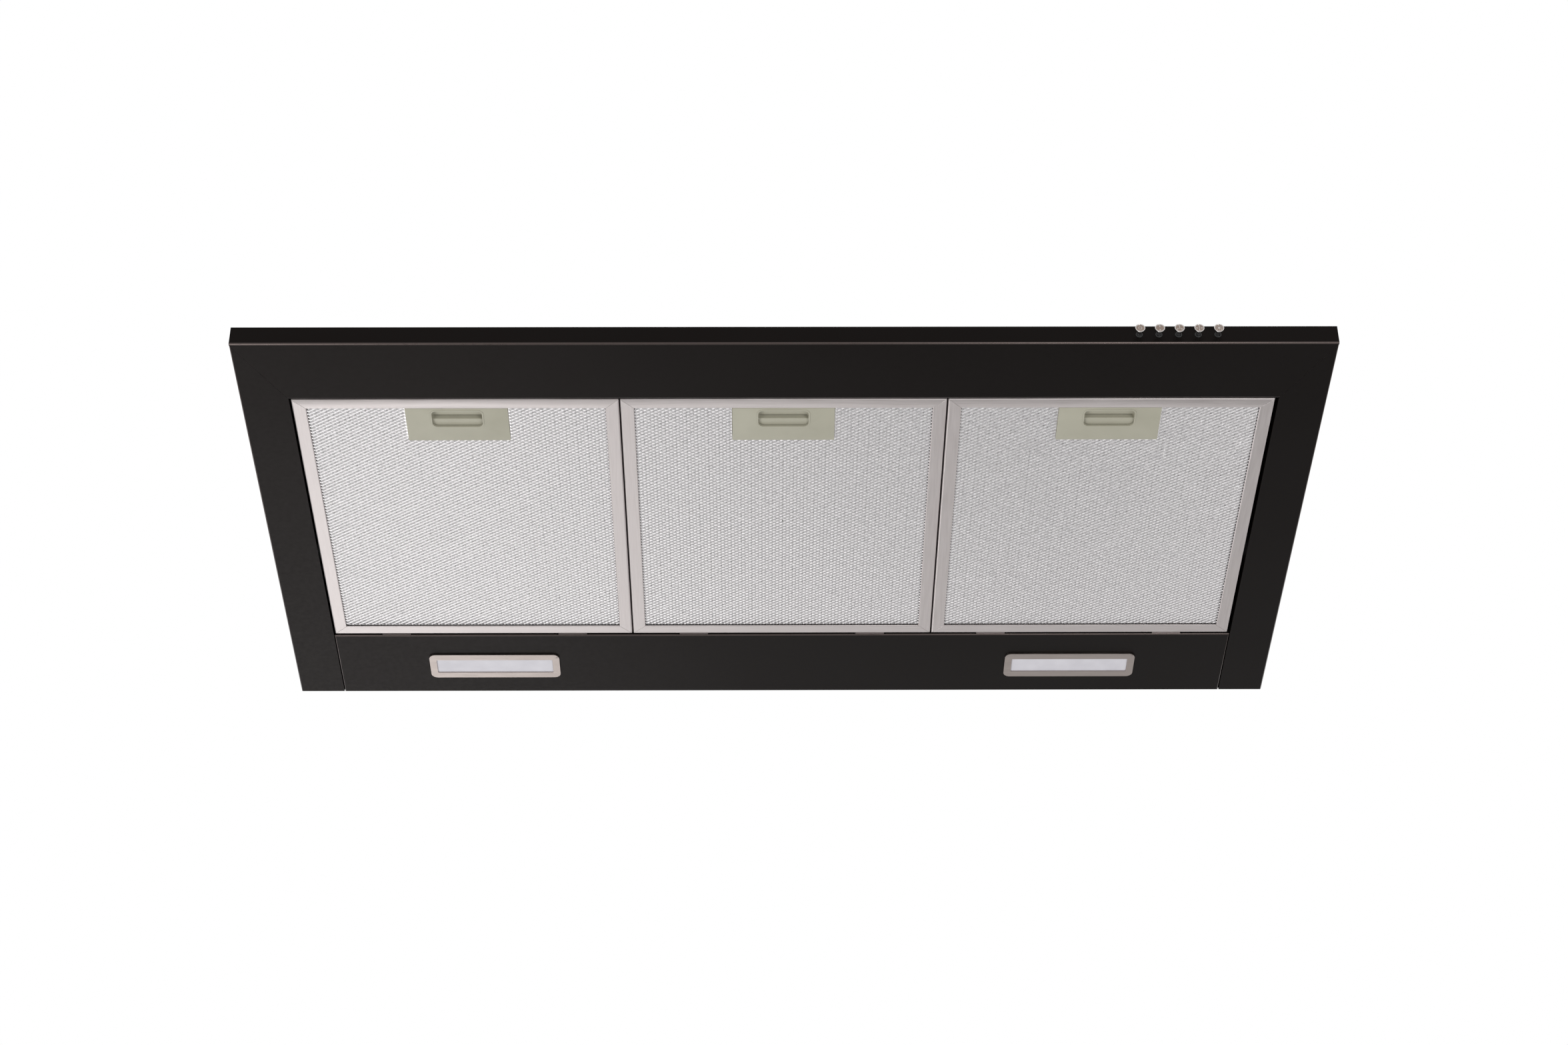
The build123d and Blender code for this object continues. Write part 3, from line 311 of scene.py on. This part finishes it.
def galvanised():
    finish, tree, shader = start_finish("galvanised")
    flakes = tree.nodes.new("ShaderNodeTexVoronoi")
    flakes.inputs["Scale"].default_value = 190
    tree.links.new(own_place(tree), flakes.inputs["Vector"])
    split = tree.nodes.new("ShaderNodeSeparateColor")
    tree.links.new(flakes.outputs["Color"], split.inputs["Color"])
    flake = split.outputs["Red"]
    tree.links.new(shades(tree, flake, (0.0, (0.52, 0.53, 0.55)), (1.0, (0.60, 0.61, 0.63))),
                   shader.inputs["Base Color"])
    tree.links.new(spread(tree, flake, 0.44, 0.50, 0, 1), shader.inputs["Roughness"])
    shader.inputs["Metallic"].default_value = 1
    relief(tree, shader, flakes.outputs["Distance"], 0.05, 0.0004)
    return finish


def motor_steel():
    finish, tree, shader = start_finish("motor_steel")
    layers = tree.nodes.new("ShaderNodeTexWave")
    layers.bands_direction = "Z"
    layers.inputs["Scale"].default_value = 320
    tree.links.new(own_place(tree), layers.inputs["Vector"])
    colours = shades(tree, layers.outputs["Fac"], (0.2, (0.035, 0.038, 0.042)), (0.8, (0.075, 0.08, 0.088)))
    tree.links.new(colours, shader.inputs["Base Color"])
    tree.links.new(spread(tree, grain(tree, 300, 3), 0.4, 0.55), shader.inputs["Roughness"])
    shader.inputs["Metallic"].default_value = 0.6
    relief(tree, shader, layers.outputs["Fac"], 0.3, 0.0003)
    return finish


def milky_lens():
    finish, tree, shader = start_finish("milky_lens")
    haze = grain(tree, 60, 2)
    tree.links.new(shades(tree, haze, (0.3, (0.60, 0.585, 0.625)), (0.7, (0.66, 0.645, 0.685))),
                   shader.inputs["Base Color"])
    tree.links.new(spread(tree, grain(tree, 1500, 2), 0.42, 0.52), shader.inputs["Roughness"])
    shader.inputs["Specular IOR Level"].default_value = 0.35
    relief(tree, shader, grain(tree, 1500, 2), 0.05, 0.0001)
    return finish


finishes = {
    "black_enamel": black_enamel("black_enamel", 0.065, 0.36),
    # A far glossier copy of the same enamel, for the bends alone: a painted highlight line along them
    "bend_highlight_enamel": black_enamel("bend_highlight_enamel", 1.0, 0.3),
    "filter_aluminium": rolled_aluminium("rolled_along_x", (0.04, 1, 1)),
    "filter_aluminium_side": rolled_aluminium("rolled_along_y", (1, 0.04, 1)),
    "foil_aluminium": foil_aluminium(),
    "shade_darkened_foil": shade_darkened_foil(),
    "latch_plastic": moulded("latch_plastic", (0.370, 0.356, 0.282), (0.400, 0.386, 0.308), 0.5),
    "spring_steel": plated("spring_steel", (0.42, 0.42, 0.43), (0.52, 0.52, 0.53), 0.25),
    "chrome_plate": plated("chrome_plate", (0.50, 0.475, 0.46), (0.56, 0.53, 0.51), 0.12, scale=500),
    "chrome_post": plated("chrome_post", (0.46, 0.46, 0.47), (0.54, 0.54, 0.55), 0.3, scale=500, bump=0),
    # The cap's face: the same chrome, darker and browner, a painted reflection of brown surroundings
    "cap_face_painted_reflection": plated("cap_face_painted_reflection", (0.25, 0.195, 0.165), (0.30, 0.235, 0.20), 0.3, scale=700),
    "black_plastic": moulded("black_plastic", (0.012, 0.012, 0.012), (0.018, 0.018, 0.018), 0.5),
    "nickel_trim": plated("nickel_trim", (0.30, 0.262, 0.245), (0.345, 0.30, 0.28), 0.34, (0.05, 1, 1), 800),
    "milky_lens": milky_lens(),
    "galvanised": galvanised(),
    "motor_steel": motor_steel(),
    "bright_steel": plated("bright_steel", (0.46, 0.46, 0.47), (0.56, 0.56, 0.57), 0.42),
    "board_white": moulded("board_white", (0.70, 0.70, 0.66), (0.76, 0.76, 0.72), 0.35, 0.5, 0.03),
    "capacitor_grey": moulded("capacitor_grey", (0.50, 0.51, 0.52), (0.55, 0.56, 0.57), 0.35, 0.5, 0.04),
    "terminal_white": moulded("terminal_white", (0.60, 0.58, 0.50), (0.66, 0.64, 0.55), 0.45),
    "rubber_black": moulded("rubber_black", (0.014, 0.014, 0.014), (0.022, 0.022, 0.022), 0.75, 0.3, 0.2, 900),
}

# The names are kept, because the pieces made below take the finish that their node had.
node_slots = {name: node.material_slots[0].material.name for name, node in nodes.items()}
for name, node in nodes.items():
    node.material_slots[0].material = finishes[node_slots[name]]


# ---- Making pieces -------------------------------------------------------------------------------

def add_piece(name, shape, body, slot_name, stands_for=(), crease=35, other_finishes=()):
    """Turns a finished shape into a piece that rides on a body, or on none."""
    mesh = bpy.data.meshes.new(name)
    shape.to_mesh(mesh)
    shape.free()
    for finish in (slot_name, *other_finishes):
        mesh.materials.append(finishes[finish])
    for face in mesh.polygons:
        face.use_smooth = True
    mesh.set_sharp_from_angle(angle=math.radians(crease))
    for face in mesh.polygons:
        if face.area > FLAT_AREA:
            face.use_smooth = False
    piece = bpy.data.objects.new(name, mesh)
    bpy.context.scene.collection.objects.link(piece)
    if body:
        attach(piece, body)
    if stands_for:
        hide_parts(*stands_for)
    return piece


def soften(shape, edges, width, segments=2):
    """Rounds the given edges."""
    bmesh.ops.bevel(shape, geom=edges, offset=width, offset_type="OFFSET", segments=segments,
                    profile=0.5, affect="EDGES", clamp_overlap=True, material=-1)


def body_of_node(node):
    return nodes[node]["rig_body"]


def own_shape(node):
    """The node's own shape, joined up so that its edges can be worked."""
    shape = bmesh.new()
    shape.from_mesh(nodes[node].data)
    bmesh.ops.remove_doubles(shape, verts=shape.verts, dist=SAME_PLACE)
    bmesh.ops.dissolve_limit(shape, angle_limit=FLUSH, use_dissolve_boundaries=False,
                             verts=shape.verts, edges=shape.edges, delimit={"NORMAL"})
    return shape


def eased(node, width, segments=2, bends=None, window=None):
    """The node's own shape with its sharp edges softened, in place of the node.

    Bends names a finish for the softened edges that look down; in use a far glossier copy of the enamel, which
    paints a highlight line along them. A window is opened upwards first.
    """
    shape = own_shape(node)
    if window:
        cut_window(shape, *window, 2)
        shape.normal_update()
    sharp = [edge for edge in shape.edges if edge.is_manifold and edge.calc_face_angle() > SHARP]
    soften(shape, sharp, width, segments)
    if bends:
        shape.normal_update()
        for face in shape.faces:
            sideways = math.hypot(face.normal.x, face.normal.y)
            if face.normal.z < -BEND_LEAN and sideways > BEND_LEAN:
                face.material_index = 1
    return add_piece(node + "_eased", shape, body_of_node(node), node_slots[node], [node],
                     other_finishes=[bends] if bends else [])


def everything(shape):
    return shape.verts[:] + shape.edges[:] + shape.faces[:]


def is_between(low, point, high):
    return all(low[axis] < point[axis] < high[axis] for axis in range(3))


def cut_window(shape, low, high, through):
    """Opens a wall from one face to the other, between two corners. Through names the axis, 0 to 2."""
    for axis in range(3):
        if axis == through:
            continue
        for corner in (low, high):
            normal = Vector((0, 0, 0))
            normal[axis] = 1
            bmesh.ops.bisect_plane(shape, geom=everything(shape), plane_co=corner, plane_no=normal, dist=ON_CUT)
    panes = [face for face in shape.faces
             if abs(face.normal[through]) > SQUARE_ON and is_between(low, face.calc_center_median(), high)]
    rims = {edge for face in panes for edge in face.edges}
    bmesh.ops.delete(shape, geom=panes, context="FACES_ONLY")
    bmesh.ops.bridge_loops(shape, edges=[edge for edge in rims if edge.is_valid])


# ---- Canopy, lamps and latches -------------------------------------------------------------------

def latch_slider(node):
    """The slider, with a thin gap just ahead of the grip's face."""
    low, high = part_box(node)
    middle = (low.x + high.x) / 2
    face = GRIP + low.y
    eased(node, FINE_EASE, window=(
        Vector((middle - GRIP_GAP[0] / 2, face - GRIP_GAP[1], low.z + GRIP_GAP_LOW)),
        Vector((middle + GRIP_GAP[0] / 2, face - GRIP_WALL, high.z + GRIP_GAP_PAST))))


def latch_spring(node):
    """The node's own shape, as a piece on no body, fixed where it stands."""
    spring = add_piece(node + "_coil", own_shape(node), None, node_slots[node], [node])
    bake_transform(spring)


# The bends of these sheets take the glossier enamel copy, a painted highlight line
for node in ("front_fascia", "side_panel_left", "side_panel_right", "lamp_panel"):
    eased(node, FINE_EASE, bends="bend_highlight_enamel")
for node in ("canopy_shell", "back_panel", "duct_collar", "outlet_box", "junction_box", "junction_cover"):
    eased(node, FINE_EASE)
for side in SIDES:
    eased("lamp_bezel_" + side, ROUND_EASE, segments=3)
    eased("lamp_lens_" + side, SOFT_EASE)
for side in FILTERS:
    eased("latch_housing_" + side, SOFT_EASE, segments=3)
    latch_slider("latch_slider_" + side)
for side in FILTERS:
    latch_spring("latch_spring_" + side)


# ---- Buttons -------------------------------------------------------------------------------------

def turned(shape, profile, place, steps):
    """Spins a profile round an axis along Y. The profile gives distance out, and distance back."""
    points = [shape.verts.new((place.x + out, place.y + back, place.z)) for out, back in profile]
    lines = [shape.edges.new(pair) for pair in zip(points, points[1:])]
    bmesh.ops.spin(shape, geom=points + lines, cent=place, axis=(0, 1, 0), angle=math.tau, steps=steps,
                   use_merge=True)
    bmesh.ops.remove_doubles(shape, verts=shape.verts, dist=SAME_PLACE)
    bmesh.ops.recalc_face_normals(shape, faces=shape.faces)


def button_place(name):
    """Where the button's axis meets the cap's face."""
    low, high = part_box("button_" + name)
    return Vector(((low.x + high.x) / 2, low.y, (low.z + high.z) / 2))


def distance_out(point, place):
    return math.hypot(point.x - place.x, point.z - place.z)


def is_marked(face, place, marks):
    """Whether a face of the cap's front lies in one of the marks."""
    middle = face.calc_center_median()
    if middle.y > place.y + FACE_BACK:
        return False
    turn = math.degrees(math.atan2(middle.x - place.x, middle.z - place.z))
    return any(inner < distance_out(middle, place) < outer
               and abs((turn - at + 180) % 360 - 180) < width / 2
               for inner, outer, at, width in marks)


def push_button(name):
    """A turned button with its mark sunk into the cap: chrome, then the face with a painted brown reflection, then
    the post.
    """
    place = button_place(name)
    shape = bmesh.new()
    turned(shape, BUTTON_FACE + BUTTON_SIDE, place, BUTTON_STEPS)
    for face in shape.faces:
        middle = face.calc_center_median()
        if middle.y < place.y + FACE_BACK and distance_out(middle, place) < FACE_RADIUS:
            face.material_index = 1
        elif middle.y > place.y + POST_BACK:
            face.material_index = 2
    marks = [face for face in shape.faces if is_marked(face, place, MARKS[name])]
    bmesh.ops.inset_region(shape, faces=marks, thickness=MARK_EDGE, depth=-MARK_SINK, use_even_offset=True)
    for face in marks:
        face.material_index = 0
    add_piece("button_" + name + "_turned", shape, "button_" + name, "chrome_plate", ["button_" + name],
              other_finishes=["cap_face_painted_reflection", "chrome_post"])


def bushes():
    shape = bmesh.new()
    for name in BUTTONS:
        place = button_place(name)
        place.y = LIP_FACE
        turned(shape, BUSH + BUSH[:1], place, BUSH_STEPS)
    add_piece("button_bushes_turned", shape, body_of_node("button_bushes"), "black_plastic", ["button_bushes"])


for name in BUTTONS:
    push_button(name)
bushes()


# ---- Filters -------------------------------------------------------------------------------------

def channel_outline():
    """Section of the rolled channel: distance in from its outer face, and height above the rim."""
    wide, wall, roll, hem = CHANNEL_WIDTH, CHANNEL_WALL, CHANNEL_ROLL, CHANNEL_HEM
    arc = [(roll - roll * math.cos(turn), roll - roll * math.sin(turn))
           for turn in map(math.radians, (0, 30, 60, 90))]
    lower = [*arc, (wide - hem, 0), (wide - hem * 0.3, hem * 0.3), (wide, hem), (wide, wall), (wall, wall)]
    upper = [(inward, CHANNEL_HEIGHT - height) for inward, height in reversed(lower)]
    return lower + upper


def channel_strip(shape, length):
    """One side of the frame along X, its outer face at y = 0, cut at 45 degrees at both ends."""
    outline = [shape.verts.new((0, inward, height)) for inward, height in channel_outline()]
    section = shape.faces.new(outline)
    grown = bmesh.ops.extrude_face_region(shape, geom=[section])
    far_end = [vert for vert in grown["geom"] if isinstance(vert, bmesh.types.BMVert)]
    for vert in outline:
        vert.co.x = -length / 2 + vert.co.y + MITRE_GAP
    for vert in far_end:
        vert.co.x = length / 2 - vert.co.y - MITRE_GAP


def is_mitre_edge(edge, length):
    """Whether an edge runs along a mitre and shows from below."""
    if not edge.is_manifold or edge.calc_face_angle() <= MITRE_SHARP:
        return False
    one, other = (vert.co for vert in edge.verts)
    at_end = abs(abs(one.x) - length / 2) < CHANNEL_WIDTH + MITRE_MARGIN
    return at_end and max(one.z, other.z) < CHANNEL_WALL and abs(one.x - other.x) > SAME_PLACE


def frame_side(whole, turn, width, depth, middle):
    """Adds one side of the frame. Turn counts quarters from the front side, which the tongue comes through."""
    along_x = turn % 2 == 0
    length, reach = (width, depth) if along_x else (depth, width)
    strip = bmesh.new()
    channel_strip(strip, length)
    if turn == 0:
        cut_window(strip, Vector((-TONGUE_SLOT[0] / 2, -1, TONGUE_SLOT_LOW)),
                   Vector((TONGUE_SLOT[0] / 2, 2 * CHANNEL_WALL, TONGUE_SLOT_LOW + TONGUE_SLOT[1])), 1)
    bmesh.ops.recalc_face_normals(strip, faces=strip.faces)
    soften(strip, [edge for edge in strip.edges if is_mitre_edge(edge, length)], MITRE_EASE, 1)
    bmesh.ops.translate(strip, verts=strip.verts, vec=(0, -reach / 2, 0))
    bmesh.ops.rotate(strip, verts=strip.verts, cent=(0, 0, 0), matrix=Matrix.Rotation(turn * math.pi / 2, 3, "Z"))
    for face in strip.faces:
        face.material_index = 0 if along_x else 1
    bmesh.ops.translate(strip, verts=strip.verts, vec=middle)
    mesh = bpy.data.meshes.new("strip")
    strip.to_mesh(mesh)
    strip.free()
    whole.from_mesh(mesh)
    bpy.data.meshes.remove(mesh)


def hinge_tab(whole, x, rear):
    """Adds a tab that stands out behind the frame, with a foot turned down at its end."""
    tab = bmesh.ops.create_cube(whole, size=1)["verts"]
    bmesh.ops.scale(whole, verts=tab, vec=TAB)
    bmesh.ops.translate(whole, verts=tab, vec=(x, rear - TAB[1] / 2, TAB_LOW + TAB[2] / 2))
    foot_front = rear - TAB[2]
    edges = list({edge for vert in tab for edge in vert.link_edges})
    faces = list({face for vert in tab for face in vert.link_faces})
    bmesh.ops.bisect_plane(whole, geom=tab + edges + faces, plane_co=(0, foot_front, 0), plane_no=(0, 1, 0),
                           dist=ON_CUT)
    under = [face for face in whole.faces
             if face.normal.z < -SQUARE_ON and face.calc_center_median().y > foot_front]
    foot = bmesh.ops.extrude_face_region(whole, geom=under)
    bmesh.ops.delete(whole, geom=under, context="FACES")
    for vert in foot["geom"]:
        if isinstance(vert, bmesh.types.BMVert):
            vert.co.z = TAB_FOOT


def frame_rear(side):
    """The outer face of the frame's rear side, where its tabs start."""
    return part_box("filter_mesh_" + side)[1].y + CHANNEL_WALL + CHANNEL_PLAY


def filter_frame(side):
    low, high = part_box("filter_frame_" + side)
    rear = frame_rear(side)
    width, depth = high.x - low.x, rear - low.y
    middle = Vector(((low.x + high.x) / 2, (low.y + rear) / 2, RIM))
    whole = bmesh.new()
    for turn in range(4):
        frame_side(whole, turn, width, depth, middle)
    for hand in (-1, 1):
        hinge_tab(whole, middle.x + hand * (width / 2 - TAB_INSET), high.y)
    add_piece("filter_frame_" + side + "_rolled", whole, "filter_" + side, "filter_aluminium",
              ["filter_frame_" + side], other_finishes=["filter_aluminium_side"])


def diamond_grid(low, high, level, cell):
    """A flat lattice of diamonds, trimmed to a rectangle."""
    shape = bmesh.new()
    middle = (low + high) / 2
    count = 2 * math.ceil((high.x - low.x) / 2 / cell[0] + (high.y - low.y) / 2 / cell[1]) + 2
    bmesh.ops.create_grid(shape, x_segments=count, y_segments=count, size=count / 2)
    bmesh.ops.rotate(shape, verts=shape.verts, cent=(0, 0, 0), matrix=Matrix.Rotation(math.pi / 4, 3, "Z"))
    bmesh.ops.scale(shape, verts=shape.verts, vec=(cell[0] / math.sqrt(2), cell[1] / math.sqrt(2), 1))
    bmesh.ops.translate(shape, verts=shape.verts, vec=(middle.x, middle.y, level))
    for point, normal in ((low, (-1, 0, 0)), (high, (1, 0, 0)), (low, (0, -1, 0)), (high, (0, 1, 0))):
        bmesh.ops.bisect_plane(shape, geom=everything(shape), plane_co=point, plane_no=normal, dist=SAME_PLACE,
                               clear_outer=True)
    return shape


def cut_notch(shape, low, high, cell):
    """Takes out the part of the foil that the latch stands in, and mends the cuts that run past its corners."""
    near = [face for face in shape.faces
            if low.x - cell[0] < face.calc_center_median().x < high.x + cell[0]
            and face.calc_center_median().y < high.y + cell[1]]
    for point, normal in ((low, (1, 0, 0)), (high, (1, 0, 0)), (high, (0, 1, 0))):
        edges = list({edge for face in near for edge in face.edges})
        verts = list({vert for face in near for vert in face.verts})
        made = bmesh.ops.bisect_plane(shape, geom=verts + edges + near, plane_co=point, plane_no=normal,
                                      dist=SAME_PLACE)
        near = [face for face in made["geom"] if isinstance(face, bmesh.types.BMFace)]
    inside = [face for face in near
              if low.x < face.calc_center_median().x < high.x and face.calc_center_median().y < high.y]
    bmesh.ops.delete(shape, geom=inside, context="FACES")
    past_corners = [edge for edge in shape.edges if len(edge.link_faces) == 2
                    and min(abs(edge.verts[0].co.x - edge.verts[1].co.x),
                            abs(edge.verts[0].co.y - edge.verts[1].co.y)) < SAME_PLACE]
    bmesh.ops.dissolve_edges(shape, edges=past_corners, use_verts=True)


def expanded_foil(low, high, notch, layer, seed):
    """A sheet of expanded foil: a lattice of diamond openings whose strands all lean one way."""
    cell, strand = layer["cell"], layer["strand"]
    whole_cell = cell[0] * cell[1] / 2
    shape = diamond_grid(low, high, layer["level"], cell)
    cut_notch(shape, *notch, cell)
    scraps = [face for face in shape.faces if face.calc_area() < SCRAP_SHARE * whole_cell]
    bmesh.ops.delete(shape, geom=scraps, context="FACES")
    knots = set()
    if layer["knot"]:
        crossings = [vert for vert in shape.verts if len(vert.link_faces) == 4]
        made = bmesh.ops.bevel(shape, geom=crossings, offset=layer["knot"], offset_type="OFFSET", segments=1,
                               profile=0.5, affect="VERTICES", material=-1)
        knots = {face for face in made["faces"] if face.calc_area() < KNOT_SHARE * whole_cell}
    cells = [face for face in shape.faces if face not in knots and face.calc_area() > CELL_SHARE * whole_cell]
    bmesh.ops.inset_individual(shape, faces=cells, thickness=strand, use_even_offset=True)
    chance = random.Random(seed)
    for opening in cells:
        centre = opening.calc_center_bounds()
        wave = noise.noise(Vector((centre.x * FOIL_WAVE_SCALE[0], centre.y * FOIL_WAVE_SCALE[1], seed)))
        lean = layer["tilt"] * (1 + FOIL_WAVE * wave + chance.uniform(-FOIL_SCATTER, FOIL_SCATTER))
        skew = layer["twist"] * (1 + chance.uniform(-TWIST_SCATTER, TWIST_SCATTER))
        for vert in opening.verts:
            vert.co.z += lean * (centre.y - vert.co.y) + skew * (centre.x - vert.co.x)
    bmesh.ops.delete(shape, geom=cells, context="FACES_ONLY")
    bmesh.ops.remove_doubles(shape, verts=shape.verts, dist=strand / 4)
    return shape


def in_halves(whole, middle_x):
    """The sheet as a left and a right half, each with a letter for its name."""
    halves = {"_a": whole, "_b": whole.copy()}
    for half, hand in zip(halves.values(), (-1, 1)):
        away = [face for face in half.faces if hand * (face.calc_center_median().x - middle_x) <= 0]
        bmesh.ops.delete(half, geom=away, context="FACES")
    return halves


def filter_foils(side, seed):
    frame_low, frame_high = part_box("filter_frame_" + side)
    inset = CHANNEL_WIDTH - FOIL_LAP
    low = Vector((frame_low.x + inset, frame_low.y + inset, 0))
    high = Vector((frame_high.x - inset, frame_rear(side) - inset, 0))
    latch_low, latch_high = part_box("latch_housing_" + side)
    gap = Vector((LATCH_PLAY, LATCH_PLAY, 0))
    for number, (name, layer) in enumerate(FOIL_LAYERS.items()):
        whole = expanded_foil(low, high, (latch_low - gap, latch_high + gap), layer, seed + number)
        parts = in_halves(whole, (low.x + high.x) / 2) if name == "front" else {"": whole}
        for letter, part in parts.items():
            bmesh.ops.solidify(part, geom=part.faces[:], thickness=FOIL_THICK)
            piece = add_piece("foil_" + name + "_" + side + letter, part, "filter_" + side, "foil_aluminium",
                              ["filter_mesh_" + side], crease=FOIL_CREASE)
            piece.data.materials[0] = finishes[layer["finish"]]


for side, seed in FOIL_SEEDS.items():
    filter_frame(side)
    filter_foils(side, seed)


# ---- Room, light and camera ----------------------------------------------------------------------

def floor():
    shape = bmesh.new()
    bmesh.ops.create_grid(shape, x_segments=1, y_segments=1, size=FLOOR_REACH)
    bmesh.ops.translate(shape, verts=shape.verts, vec=(0, 0, FLOOR_LEVEL))
    mesh = bpy.data.meshes.new("floor")
    shape.to_mesh(mesh)
    shape.free()
    finish, tree, shader = start_finish("floor_paint")
    shader.inputs["Base Color"].default_value = (0.82, 0.82, 0.82, 1)
    shader.inputs["Roughness"].default_value = 0.9
    mesh.materials.append(finish)
    piece = bpy.data.objects.new("floor", mesh)
    bpy.context.scene.collection.objects.link(piece)


def room():
    """A white surround. It lights matt surfaces less strongly than it shows."""
    world = bpy.data.worlds.new("room")
    bpy.context.scene.world = world
    world.use_nodes = True
    tree = world.node_tree
    background = tree.nodes["Background"]
    path = tree.nodes.new("ShaderNodeLightPath")
    shows = path.outputs["Is Camera Ray"]
    for ray in ("Is Glossy Ray", "Is Transmission Ray"):
        either = tree.nodes.new("ShaderNodeMath")
        either.operation = "MAXIMUM"
        tree.links.new(shows, either.inputs[0])
        tree.links.new(path.outputs[ray], either.inputs[1])
        shows = either.outputs[0]
    level = tree.nodes.new("ShaderNodeMapRange")
    level.inputs["To Min"].default_value = ROOM_LIGHTS
    level.inputs["To Max"].default_value = ROOM_SHOWS
    tree.links.new(shows, level.inputs["Value"])
    tree.links.new(level.outputs["Result"], background.inputs["Strength"])
    background.inputs["Color"].default_value = (1, 1, 1, 1)


def lamp(name, place, size, power, target=LAMP_TARGET):
    light = bpy.data.lights.new(name, "AREA")
    light.shape = "RECTANGLE"
    light.size, light.size_y = size
    light.energy = power
    holder = bpy.data.objects.new(name, light)
    holder.location = place
    holder.rotation_euler = (Vector(target) - Vector(place)).to_track_quat("-Z", "Y").to_euler()
    bpy.context.scene.collection.objects.link(holder)


def camera():
    view = bpy.data.cameras.new("camera")
    view.lens = CAMERA_LENS
    view.sensor_width = 36
    view.clip_end = 100
    holder = bpy.data.objects.new("camera", view)
    holder.location = CAMERA_PLACE
    holder.rotation_euler = [math.radians(turn) for turn in CAMERA_TURN]
    bpy.context.scene.collection.objects.link(holder)
    bpy.context.scene.camera = holder


floor()
room()
lamp("left_lamp", (-2.2, -0.9, -2.4), (1.2, 1.2), 34)
lamp("right_lamp", (2.3, -0.9, -2.3), (1.0, 1.0), 4)
lamp("front_lamp", (1.3, -2.45, -2.0), (0.9, 1.1), 24)
lamp("under_lamp", (-2.2, 1.9, -3.3), (2.6, 1.4), 10.5)
lamp("rear_lamp", (-0.5, 1.9, -3.3), (0.8, 1.4), 2.2)
lamp("wall_lamp", (-1.2, 3.3, -2.5), (1.8, 1.0), 14)
lamp("high_lamp", (0.5, 0.9, 2.6), (2.0, 2.0), 40, target=(0, 0, 0))
camera()
bpy.context.scene.view_settings.view_transform = "Standard"
